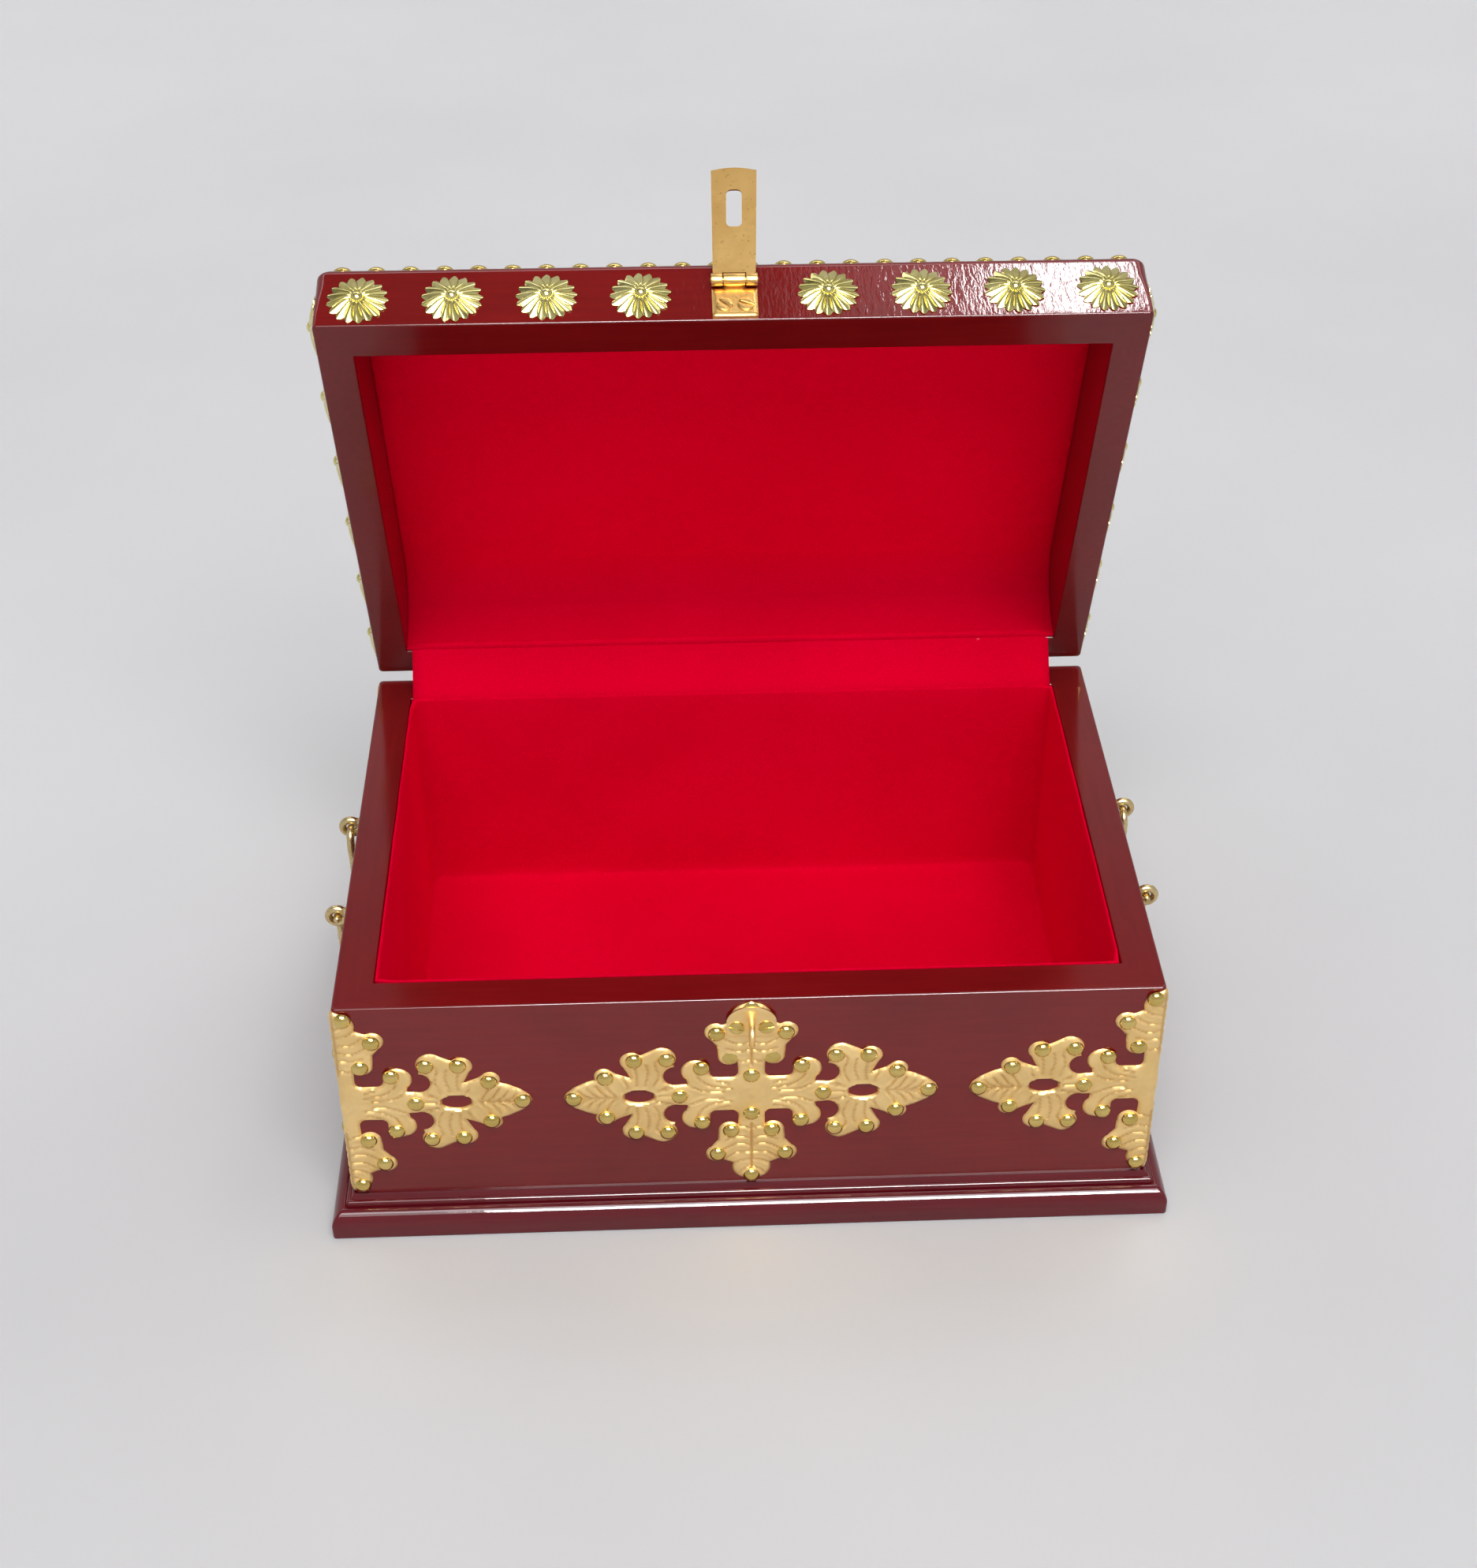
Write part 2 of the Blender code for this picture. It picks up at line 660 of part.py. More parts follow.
def add_staple():
    """The staple plate over the top of the front cross, with its upright wire loop."""
    half = STAPLE_PLATE_WIDTH / 2
    outline = [(-half, -STAPLE_PLATE_FOOT), (half, -STAPLE_PLATE_FOOT), (half, -STAPLE_SHOULDER)]
    outline += arc((0, -STAPLE_SHOULDER), half, 15, 165, 8)
    outline = [(x, min(z, -STAPLE_PLATE_TOP)) for x, z in outline] + [(-half, -STAPLE_SHOULDER)]
    plate = plate_bmesh(outline, SHEET)
    face = -DEPTH / 2 - 2 * GAP - CROSS_SHEET
    bmesh.ops.translate(plate, vec=(0, face, RIM), verts=plate.verts)
    bend = STAPLE_LEGS / 2
    outer = STAPLE_REACH - STAPLE_WIRE - bend
    start = face + DEPTH / 2 - SHEET / 2
    route = [(start, bend), *arc((-outer, 0), bend, 90, 270, 8), (start, -bend)]
    middle = RIM - STAPLE_DROP
    path = [(0, -DEPTH / 2 + out, middle + up) for out, up in route]
    loop = bmesh.new()
    loop.from_mesh(tube_mesh("staple_loop", path, STAPLE_WIRE))
    add_piece("hasp_staple", join_into([plate, loop], "hasp_staple"), brass)


# ---------------------------------------------------------------- stamped crosses


def cross_quarter():
    """A quarter of the scrolled cross, from its top tip clockwise to its right tip, in mm."""
    outline = arc((3.2, 39.3), 5.8, 72, -35, 5)
    outline += arc((13.2, 31.0), 4.2, 125, -60, 6)
    outline += [(12.8, 24.0)]
    outline += arc((8.2, 18.9), 4.3, 5, -135, 5)
    outline += [(5.0, 12.0)]
    outline += arc((7.6, 11.0), 2.6, 190, 270, 2)
    outline += arc((13.1, 11.0), 2.5, 270, 350, 2)
    outline += arc((20.8, 11.8), 5.5, 160, -50, 7)
    outline += [(23.9, 5.4)]
    outline += arc((28.3, 9.6), 4.6, 250, 445, 6)
    outline += arc((33.4, 18.6), 5.4, 215, 55, 6)
    outline += arc((44.6, 17.6), 4.3, 140, -45, 6)
    outline += [(45.0, 9.2), (50.5, 11.6)]
    outline += arc((55.0, 10.6), 3.7, 120, -25, 5)
    outline += [(61.6, 7.8), (66.2, 5.3), (69.2, 2.5)]
    return [(x * MM, z * MM) for x, z in outline]


def cross_half(reach):
    """The cross's right half, its middle edge drawn at x = -reach."""
    quarter = cross_quarter()
    top = (-reach, CROSS_TIP)
    tip = (CROSS_REACH, 0)
    lower = [(x, -z) for x, z in reversed(quarter)]
    return [top, *quarter, tip, *lower, (top[0], -top[1])]


def leaf_hole():
    """The pierced leaf in each arm of the cross."""
    upper = arc((42.0 * MM, -5.2 * MM), 8.4 * MM, 130, 50, 5)
    lower = arc((42.0 * MM, 5.2 * MM), 8.4 * MM, 310, 230, 5)
    return upper + lower


def add_front_cross():
    right = cross_half(0)[1:-1]
    left = [(-x, z) for x, z in reversed(right)]
    hole = leaf_hole()
    other = [(-x, z) for x, z in hole]
    bm = plate_bmesh(right + left, CROSS_SHEET, [hole, other])
    shift = Matrix.Translation((0, -GAP, RIM - CROSS_DROP))
    bmesh.ops.transform(bm, matrix=side_matrix("front") @ shift, verts=bm.verts)
    add_piece("cross_front", finish_mesh("cross_front", bm), brass_sheet)


def corner_cross_mesh(name):
    """The same cross folded upright round a corner: one half on each face. Drawn at the origin."""
    bend = GAP + CROSS_SHEET
    shapes = []
    for turn in (False, True):
        bm = plate_bmesh(cross_half(bend), CROSS_SHEET, [leaf_hole()])
        bmesh.ops.translate(bm, vec=(0, -GAP, 0), verts=bm.verts)
        if turn:
            swap = Matrix(((0, 1, 0, 0), (1, 0, 0, 0), (0, 0, 1, 0), (0, 0, 0, 1)))
            bmesh.ops.transform(bm, matrix=swap, verts=bm.verts)
            bmesh.ops.reverse_faces(bm, faces=bm.faces)
        shapes.append(bm)
    return join_into(shapes, name)


def add_corner_crosses():
    """One folded cross on each upright corner of the case."""
    for y_name, y_sign in (("front", -1), ("back", 1)):
        for x_name, x_sign in (("left", -1), ("right", 1)):
            name = "corner_" + y_name + "_" + x_name
            mesh = corner_cross_mesh(name)
            flip = Matrix.Diagonal((-x_sign, -y_sign, 1, 1))
            place = (x_sign * WIDTH / 2, y_sign * DEPTH / 2, RIM - CROSS_DROP)
            mesh.transform(Matrix.Translation(place) @ flip)
            if x_sign * y_sign < 0:
                mesh.flip_normals()
            add_piece(name, mesh, brass_sheet)


# ---------------------------------------------------------------- flower bosses


def boss_mesh():
    """Half a section of a low dome with a raised middle, (share of the radius, height in mm).

    The Screw modifier on each boss turns it.
    """
    section = [(0, 3.6), (0.23, 3.2), (0.3, 2.4), (0.8, 1.7), (1, 0.7), (1, 0), (0, 0)]
    bm = bmesh.new()
    verts = [bm.verts.new((share * BOSS_RADIUS, 0, up * MM)) for share, up in section]
    for first, second in zip(verts, verts[1:]):
        bm.edges.new((first, second))
    mesh = bpy.data.meshes.new("flower_boss")
    bm.to_mesh(mesh)
    bm.free()
    mesh.materials.append(brass)
    return mesh


def add_boss(name, mesh, side, along):
    boss = bpy.data.objects.new(name, mesh)
    parts.objects.link(boss)
    hang(boss, lid_pivot)
    face = Matrix.Translation((along, -GAP, BOSS_UP)) @ Matrix.Rotation(math.radians(90), 4, "X")
    boss.matrix_basis = side_matrix(side, LID_RIM) @ face
    screw = boss.modifiers.new("Turn", "SCREW")
    screw.steps = BOSS_STEPS
    screw.render_steps = BOSS_STEPS
    screw.use_merge_vertices = True
    screw.merge_threshold = 0.00001


def add_bosses():
    """Eight on the front, none behind the hasp, and six on each end."""
    mesh = boss_mesh()
    for i, place in enumerate((-4, -3, -2, -1, 1, 2, 3, 4)):
        add_boss("boss_front_" + str(i + 1), mesh, "front", place * BOSS_FRONT_PITCH)
    for i in range(6):
        along = -DEPTH / 2 + BOSS_SIDE_FIRST + i * BOSS_SIDE_PITCH
        add_boss("boss_right_" + str(i + 1), mesh, "right", along)
        add_boss("boss_left_" + str(i + 1), mesh, "left", -along)


# ---------------------------------------------------------------- drop handles


def post_mesh(name):
    """A leaf plate with a ring standing out of it, drawn on the front face at its ring's height."""
    outline = [(0, 8.2), (1.6, 5.2), (4.6, 3.0), (5.2, -1.0), (4.4, -4.4), (5.6, -8.0)]
    outline += [(4.6, -12.5), (2.4, -16.0), (0, -18.5)]
    outline = [(x * MM, z * MM) for x, z in outline]
    outline += [(-x, z) for x, z in outline[-2:0:-1]]
    plate = plate_bmesh(outline, POST_SHEET)
    bmesh.ops.translate(plate, vec=(0, -GAP, 0), verts=plate.verts)
    bpy.ops.mesh.primitive_torus_add(
        major_radius=RING_RADIUS,
        minor_radius=RING_WIRE,
        major_segments=16,
        minor_segments=8,
        location=(0, -RING_OUT, 0),
        rotation=(0, math.radians(90), 0),
    )
    torus = bpy.context.object
    ring = bmesh.new()
    ring.from_mesh(torus.data)
    bmesh.ops.transform(ring, matrix=torus.matrix_basis, verts=ring.verts)
    bpy.data.objects.remove(torus)
    return join_into([plate, ring], name)


def bail_route():
    """From one pin, down its arm, along the grip and up the other, in (along, up), with swells."""
    half = HANDLE_SPAN / 2
    side = [
        (half + 2.7 * MM, 0),
        (half - 2.4 * MM, 0),
        (half - 4.4 * MM, -1.2 * MM),
        (half - 5.4 * MM, -3.4 * MM),
        (half - 5.6 * MM, -8 * MM),
        (half - 4.6 * MM, -14 * MM),
        (half - 4.8 * MM, -19 * MM),
        (half - 7.0 * MM, -23.5 * MM),
        (half - 11.5 * MM, -26.3 * MM),
        (half - 17 * MM, -BAIL_DROP),
    ]
    swells = [1, 1, 1.05, 1.1, 1.15, 1.1, 1.05, 1.1, 1.25, 1.5]
    route = side + [(0, -BAIL_DROP)] + [(-a, z) for a, z in reversed(side)]
    return route, swells + [1.75] + swells[::-1]


def bail_mesh(name):
    route, swells = bail_route()
    path = [(along, -RING_OUT, up) for along, up in route]
    return tube_mesh(name, path, BAIL_WIRE, 2, swells)


def add_handles():
    """A bail hanging between two ringed posts on each end wall."""
    height = RIM - HANDLE_DROP
    for side in ("left", "right"):
        facing = 1 if side == "right" else -1
        on_side = side_matrix(side, height)
        for label, offset in (("front", -HANDLE_SPAN / 2), ("back", HANDLE_SPAN / 2)):
            name = "handle_" + side + "_post_" + label
            mesh = post_mesh(name)
            along = facing * (HANDLE_Y + offset)
            mesh.transform(on_side @ Matrix.Translation((along, 0, 0)))
            add_piece(name, mesh, brass)
        axis = Vector((facing * (WIDTH / 2 + RING_OUT), HANDLE_Y, height))
        pivot = new_pivot("bail_" + side + "_pivot", axis)
        mark_shut(pivot, axis)
        mesh = bail_mesh("bail_" + side)
        mesh.transform(on_side @ Matrix.Translation((facing * HANDLE_Y, 0, 0)))
        add_piece("bail_" + side, mesh, brass, pivot)


# ---------------------------------------------------------------- the casket

clear_scene()
parts = new_collection("casket")
cutters = new_collection("cutters")
cutters.hide_render = True

wood = new_material("lacquered_wood", (0.13, 0.012, 0.012), 0.22, 0.0)
velvet = new_material("red_velvet", (0.62, 0.0, 0.014), 0.9, 0.0)
brass = new_material("polished_brass", (0.72, 0.5, 0.16), 0.2, 1.0)
brass_sheet = new_material("stamped_brass", (0.7, 0.45, 0.17), 0.4, 1.0)

lid_pivot = new_pivot("lid_pivot", HINGE_AXIS)
mark_shut(lid_pivot, HINGE_AXIS)
hasp_pivot = new_pivot("hasp_pivot", HASP_AXIS, lid_pivot)
mark_shut(hasp_pivot, HASP_AXIS)

add_case_walls()
add_bottom_board()
add_plinth()

envelope_of_lid = lid_envelope()
add_lid_rails(envelope_of_lid)
add_lid_top_board(envelope_of_lid)

add_lining_walls()
add_lining_floor()
add_lid_lining()
add_hinge_flap()

add_hinges()
add_hasp_leaf()
add_hasp_strap()
add_hasp_pin()
add_staple()

add_front_cross()
add_corner_crosses()
add_bosses()
add_handles()

lid_pivot.rotation_euler.x = -LID_OPEN
hasp_pivot.rotation_euler.x = -HASP_OPEN
bpy.context.view_layer.update()
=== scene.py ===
"""Lacquered wooden casket with brass mounts and a red velvet lining, its lid standing open.

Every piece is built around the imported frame. Shapes are drawn in millimetres in the shut
casket's own frame; what belongs to the lid is then turned to where the frame holds it open.
"""

import json
import math

import bpy
import numpy as np
from mathutils import Matrix, Vector, geometry, noise


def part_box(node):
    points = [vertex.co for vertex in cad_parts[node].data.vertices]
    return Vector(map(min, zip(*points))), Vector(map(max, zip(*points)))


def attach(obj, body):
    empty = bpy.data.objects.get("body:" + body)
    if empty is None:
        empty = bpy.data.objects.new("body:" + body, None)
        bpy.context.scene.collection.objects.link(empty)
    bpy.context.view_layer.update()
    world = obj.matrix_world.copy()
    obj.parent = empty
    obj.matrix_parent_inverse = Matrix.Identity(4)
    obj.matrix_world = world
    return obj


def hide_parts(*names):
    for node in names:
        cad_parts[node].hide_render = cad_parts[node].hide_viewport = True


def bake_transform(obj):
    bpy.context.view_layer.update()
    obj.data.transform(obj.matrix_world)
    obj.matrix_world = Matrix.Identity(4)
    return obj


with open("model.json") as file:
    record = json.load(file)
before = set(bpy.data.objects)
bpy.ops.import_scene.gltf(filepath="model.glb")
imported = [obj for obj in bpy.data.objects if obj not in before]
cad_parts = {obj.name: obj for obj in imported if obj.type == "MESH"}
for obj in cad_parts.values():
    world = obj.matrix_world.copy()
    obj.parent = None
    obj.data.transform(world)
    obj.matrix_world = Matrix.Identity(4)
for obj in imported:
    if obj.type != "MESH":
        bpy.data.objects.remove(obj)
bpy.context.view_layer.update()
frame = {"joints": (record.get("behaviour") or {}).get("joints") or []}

MM = 0.001
METRE = 1000.0

# ---- sizes from the frame, in mm


def low(node):
    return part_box(node)[0] * METRE


def high(node):
    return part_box(node)[1] * METRE


JOINTS = {joint["name"]: joint for joint in frame["joints"]}
HALF_X = high("wall_right").x
HALF_Y = -low("wall_front").y
RIM = high("wall_front").z
WALL = high("wall_left").x + HALF_X
FLOOR = high("bottom_board").z
PLINTH = -low("plinth_front").y - HALF_Y
PLINTH_TOP = high("plinth_front").z
HINGE = Vector(JOINTS["lid_hinge"]["pos_m"]) * METRE
LID_ANGLE = math.radians(JOINTS["lid_hinge"]["range_deg"][0])
STRAP_ANGLE = math.radians(JOINTS["hasp_hinge"]["range_deg"][0])
LID_CLEARANCE = 0.4
LID_RIM = RIM + LID_CLEARANCE

# The lid's own shape, which the frame holds turned
LID_EDGE = 28.0
LID_TOP = 49.5
LID_SLOPE = math.radians(30)
FRONT_RAIL = 16.0
BACK_RAIL = 14.5
SIDE_RAIL = 13.5
RECESS = 34.1

HASP_Z = 17.2
HASP_OUT = 2.8
CROSS_Z = (low("cross_front").z + high("cross_front").z) / 2
HANDLE_Z = JOINTS["bail_left_hinge"]["pos_m"][2] * METRE
HANDLE_Y = JOINTS["bail_left_hinge"]["pos_m"][1] * METRE
RING_OUT = JOINTS["bail_right_hinge"]["pos_m"][0] * METRE - HALF_X
HANDLE_SPAN = 57.0

SIDES = ("front", "right", "back", "left")
SHADE = "shade"  # the mesh attribute that darkens pressed lines, and paints shade on the lid's velvet where it turns over the rail


def turned(point, angle, axis="X"):
    return Matrix.Translation(point) @ Matrix.Rotation(angle, 4, axis) @ Matrix.Translation(-point)


HASP_AXIS = Vector((0, -HALF_Y - HASP_OUT, LID_RIM + HASP_Z))
SHUT = Matrix.Identity(4)
OPEN = turned(HINGE, LID_ANGLE)
STRAP_OPEN = OPEN @ turned(HASP_AXIS, STRAP_ANGLE)


def side_matrix(side, height=0.0):
    """Takes a shape drawn on the front face (outwards -Y) to one side of the casket."""
    half = HALF_Y if side in ("front", "back") else HALF_X
    turn = Matrix.Rotation(math.radians(90 * SIDES.index(side)), 4, "Z")
    return turn @ Matrix.Translation((0, -half, height))


# ---- materials


class Nodes:
    """A node tree with short ways to add to it."""

    def __init__(self, tree):
        self.tree = tree

    def link(self, output, target):
        self.tree.links.new(output, target)

    def node(self, kind, inputs=None, **settings):
        """A new node. An input is linked where it is given a socket, and set where a value."""
        node = self.tree.nodes.new("ShaderNode" + kind)
        for name, value in settings.items():
            setattr(node, name, value)
        for key, value in (inputs or {}).items():
            if isinstance(value, bpy.types.NodeSocket):
                self.link(value, node.inputs[key])
            else:
                node.inputs[key].default_value = value
        return node


class Skin(Nodes):
    """The nodes of one material."""

    def __init__(self, name):
        self.material = bpy.data.materials.new(name)
        self.material.use_nodes = True
        super().__init__(self.material.node_tree)
        self.shader = self.tree.nodes["Principled BSDF"]
        self.place = self.node("TexCoord").outputs["Object"]

    def set(self, **values):
        for name, value in values.items():
            self.shader.inputs[name.replace("_", " ")].default_value = value

    def noise(self, scale, stretch=(1, 1, 1), turn=(0, 0, 0), detail=4.0, rough=0.55, warp=0.0):
        turn = [math.radians(a) for a in turn]
        place = self.node("Mapping", {"Vector": self.place, "Scale": stretch, "Rotation": turn})
        sizes = {"Scale": scale, "Detail": detail, "Roughness": rough, "Distortion": warp}
        return self.node("TexNoise", {"Vector": place.outputs["Vector"], **sizes}).outputs["Fac"]

    def ramp(self, source, first, last):
        """From one (place, colour) to another."""
        node = self.node("ValToRGB", {"Fac": source})
        for element, (at, colour) in zip(node.color_ramp.elements, (first, last)):
            element.position = at
            element.color = (*colour, 1)
        return node.outputs["Color"]

    def spread(self, source, low_value, high_value, first=0.3, last=0.7):
        limits = {"From Min": first, "From Max": last, "To Min": low_value, "To Max": high_value}
        return self.node("MapRange", {"Value": source, **limits}).outputs["Result"]

    def times(self, one, two):
        inputs = {"Factor": 1.0, 6: one, 7: two}
        return self.node("Mix", inputs, data_type="RGBA", blend_type="MULTIPLY").outputs[2]

    def tinted(self, colour, tint):
        """The colour times the tint where the mesh's own shade is 1."""
        shade = self.node("Attribute", attribute_name=SHADE).outputs["Fac"]
        return self.times(colour, self.ramp(shade, (0.0, (1, 1, 1)), (1.0, tint)))

    def bump(self, source, height_mm, over=None):
        inputs = {"Strength": 1.0, "Distance": height_mm * MM, "Height": source}
        if over:
            inputs["Normal"] = over
        return self.node("Bump", inputs).outputs["Normal"]


def lacquer(name, grain, hatch=0.0, gloss=0.06, waves=0.1, tone=(1, 1, 1)):
    """Dark red-brown wood under a gloss coat, brushed along the grain, with slow waves in it."""
    n = Skin(name)
    along = [1.0, 1.0, 1.0]
    along["XYZ".index(grain)] = 0.07
    streaks = n.noise(420, along, detail=3)
    cloud = n.noise(14, detail=3)
    dark, light = (0.158, 0.0042, 0.0052), (0.184, 0.0062, 0.0066)
    stain = [tuple(a * b for a, b in zip(colour, tone)) for colour in (dark, light)]
    base = n.ramp(streaks, (0.3, stain[0]), (0.7, stain[1]))
    shade = n.ramp(cloud, (0.35, (0.82, 0.8, 0.8)), (0.65, (1, 1, 1)))
    n.link(n.times(base, shade), n.shader.inputs["Base Color"])
    n.link(n.spread(cloud, 0.3, 0.38), n.shader.inputs["Roughness"])
    n.set(Specular_IOR_Level=0.0, Coat_Weight=1.0, Coat_Roughness=gloss, Coat_IOR=1.5)
    normal = n.bump(n.noise(40, detail=2), waves)
    normal = n.bump(n.noise(750, along, detail=2), 0.006, over=normal)
    if hatch:
        strokes = n.noise(620, (1, 0.1, 1), (0, 0, -38), detail=2, warp=0.5)
        normal = n.bump(strokes, hatch, over=normal)
    n.link(normal, n.shader.inputs["Normal"])
    n.link(normal, n.shader.inputs["Coat Normal"])
    return n.material


def velvet_material(name, dark, light, sheen, painted_shade=None):
    """Short-pile velvet: a saturated red whose nap lies in soft lighter and darker patches.

    The last argument is the tint of painted shade, laid where the mesh's shade value is high.
    """
    n = Skin(name)
    patches = n.noise(11, detail=3, rough=0.5, warp=0.3)
    nap = n.noise(1500, detail=2)
    deep = n.ramp(patches, (0.34, dark), (0.66, light))
    pile = n.ramp(nap, (0.3, (0.86, 0.8, 0.86)), (0.7, (1, 1, 1)))
    colour = n.times(deep, pile)
    # painted shade: the colour is darkened where the mesh's shade value is high
    if painted_shade:
        colour = n.tinted(colour, painted_shade)
    n.link(colour, n.shader.inputs["Base Color"])
    n.set(Roughness=1.0, Specular_IOR_Level=0.0)
    n.set(Sheen_Weight=sheen, Sheen_Roughness=0.5, Sheen_Tint=(1.0, 0.0, 0.05, 1))
    normal = n.bump(nap, 0.05)
    normal = n.bump(n.noise(160, detail=3), 0.09, over=normal)
    n.link(normal, n.shader.inputs["Normal"])
    return n.material


def metal(name, dark, light, rough, dents, dent_scale=900, patch_scale=70, patina=None):
    """Brass or gilt steel: patchy tone, with a roughness and dents that vary over it.

    patina is the tint of the pressed lines.
    """
    n = Skin(name)
    patches = n.noise(patch_scale, detail=4, warp=0.4)
    colour = n.ramp(patches, (0.32, dark), (0.68, light))
    if patina:
        colour = n.tinted(colour, patina)
    n.link(colour, n.shader.inputs["Base Color"])
    grit = n.noise(dent_scale, detail=3)
    n.link(n.spread(grit, *rough), n.shader.inputs["Roughness"])
    n.set(Metallic=1.0)
    n.link(n.bump(grit, dents), n.shader.inputs["Normal"])
    return n.material


wood_x = lacquer("lacquer_grain_along_x", "X", gloss=0.13)
wood_y = lacquer("lacquer_grain_along_y", "Y", gloss=0.13)
wood_lid = lacquer("lacquer_brushed_across", "X", 0.05, tone=(1.18, 1.0, 0.8))
plinth_x, plinth_y = [
    lacquer("lacquer_moulding_" + grain.lower(), grain, 0.012, 0.05, 0.16, (0.72, 0.7, 1.5))
    for grain in "XY"
]
case_pile = velvet_material("red_velvet_case", (0.7, 0.0, 0.021), (0.78, 0.0, 0.027), 0.4)
# The lid's velvet is the case's cloth painted lighter, a painted light standing in for the light the lid's
# underside lacks; it also carries painted shade where it turns over the rail.
lid_pile_painted_lighter = velvet_material(
    "red_velvet_lid_painted_lighter", (0.93, 0.0, 0.024), (1.0, 0.0, 0.03), 0.95, painted_shade=(0.68, 1.0, 0.8)
)
stamped = metal(
    "stamped_brass_leaf", (0.76, 0.53, 0.22), (0.87, 0.64, 0.3), (0.42, 0.54), 0.03, 700, 60,
    patina=(0.68, 0.54, 0.4),
)
nail_brass = metal(
    "nail_brass", (0.6, 0.44, 0.12), (0.76, 0.57, 0.2), (0.09, 0.16), 0.004, 500, 120
)
petal_brass = metal(
    "petal_brass", (0.6, 0.52, 0.17), (0.82, 0.74, 0.33), (0.12, 0.22), 0.006, 500, 90
)
gilt = metal("gilt_steel", (0.58, 0.34, 0.105), (0.67, 0.42, 0.15), (0.27, 0.34), 0.002, 900, 60)
plate_gilt = metal("gilt_plate", (0.8, 0.53, 0.2), (0.92, 0.65, 0.29), (0.3, 0.4), 0.01, 800, 60)
handle_brass = metal(
    "handle_brass", (0.52, 0.4, 0.19), (0.7, 0.55, 0.29), (0.22, 0.34), 0.01, 600, 90
)


# ---- adding pieces


def add(
    name, points, faces, materials, body, slot,
    matrix=SHUT, sharp=35, replaces=(), pick=None, shade=None,
):
    """One piece from points in mm. pick gives a face's material number from its centre."""
    mesh = bpy.data.meshes.new(name)
    mesh.from_pydata([tuple(p) for p in points], [], faces)
    for material in materials if isinstance(materials, (list, tuple)) else [materials]:
        mesh.materials.append(material)
    if pick:
        for face in mesh.polygons:
            face.material_index = pick(face.center)
    mesh.transform(Matrix.Diagonal((MM, MM, MM, 1)) @ matrix)
    if shade is not None:
        values = mesh.attributes.new(SHADE, "FLOAT", "POINT").data
        values.foreach_set("value", np.array(shade, np.float32))
    mesh.validate()
    mesh.shade_smooth()
    mesh.set_sharp_from_angle(angle=math.radians(sharp))
    obj = bpy.data.objects.new(name, mesh)
    bpy.context.scene.collection.objects.link(obj)
    if replaces:
        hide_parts(*replaces)
    if body:
        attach(obj, body)
    return obj


class Shape:
    """Points and faces gathered from several closed shells."""

    def __init__(self):
        self.points, self.faces = [], []

    def take(self, points, faces, matrix=SHUT):
        start = len(self.points)
        self.points += [matrix @ Vector(p) for p in points]
        self.faces += [tuple(start + i for i in face) for face in faces]
        return self

    def data(self):
        return self.points, self.faces


def even_normals(obj):
    """Lets the large faces keep their own direction, so that only the roundings shade."""
    modifier = obj.modifiers.new("Even_normals", "WEIGHTED_NORMAL")
    modifier.keep_sharp = True
    modifier.weight = 90


def loft(rings, capped=True, closed=True):
    """Quads between rings of equal length, drawn anticlockwise seen from where they lead."""
    n = len(rings[0])
    faces = []
    for k in range(len(rings) - 1):
        for i in range(n if closed else n - 1):
            j = (i + 1) % n
            faces.append((k * n + i, k * n + j, (k + 1) * n + j, (k + 1) * n + i))
    if capped:
        faces.append(tuple(reversed(range(n))))
        faces.append(tuple(range((len(rings) - 1) * n, len(rings) * n)))
    return [p for ring in rings for p in ring], faces


def rect_ring(x0, x1, y0, y1, radius, z, steps=5):
    """A rectangle with rounded corners at one height, anticlockwise from above."""
    ring = []
    r = max(radius, 0.02)
    corners = ((x1 - r, y1 - r), (x0 + r, y1 - r), (x0 + r, y0 + r), (x1 - r, y0 + r))
    for start, centre in zip((0, 90, 180, 270), corners):
        ring += [(x, y, z) for x, y in arc(centre, r, start, start + 90, steps)]
    return ring


def centred_ring(x, y, radius, z, steps=5):
    return rect_ring(-x, x, -y, y, radius, z, steps)


def arc(centre, radius, first, last, steps):
    angles = [math.radians(first + (last - first) * i / steps) for i in range(steps + 1)]
    return [(centre[0] + radius * math.cos(a), centre[1] + radius * math.sin(a)) for a in angles]


def fanned(points, faces, n, below, above):
    """Closes an open loft of rings of n points with a fan to one point at either end."""
    tip, last = len(points), len(points) - n
    for i in range(n):
        j = (i + 1) % n
        faces += [(tip, j, i), (tip + 1, last + i, last + j)]
    return [*points, below, above], faces


def turned_profile(profile, segments):
    """A shape turned about Z from (radius, height) points that start and end on the axis."""
    angles = [2 * math.pi * i / segments for i in range(segments)]
    rings = [[(r * math.cos(a), r * math.sin(a), z) for a in angles] for r, z in profile if r > 1e-6]
    points, faces = loft(rings, capped=False)
    return fanned(points, faces, segments, (0, 0, profile[0][1]), (0, 0, profile[-1][1]))


def tube(path, radii, segments=14):
    """A round bar along a path of points, with domed ends."""
    path = [Vector(p) for p in path]
    first = (path[1] - path[0]).normalized()
    up = Vector((0, 1, 0)) if abs(first.x) > 0.9 else Vector((1, 0, 0))
    side = first.cross(up).normalized()
    dome = [(-0.55, 0.35), (-0.4, 0.75), (-0.15, 0.95), (0, 1)]
    rings = []
    for k, (p, r) in enumerate(zip(path, radii)):
        ahead = path[min(k + 1, len(path) - 1)] - path[max(k - 1, 0)]
        ahead.normalize()
        side = (side - ahead * side.dot(ahead)).normalized()
        other = ahead.cross(side)
        ends = [(0, 1)]
        if k == 0:
            ends = dome
        elif k == len(path) - 1:
            ends = [(-off, share) for off, share in reversed(dome)]
        for off, share in ends:
            ring = []
            for i in range(segments):
                a = 2 * math.pi * i / segments
                around = side * math.cos(a) + other * math.sin(a)
                ring.append(p + ahead * off * r + around * r * share)
            rings.append(ring)
    return loft(rings)


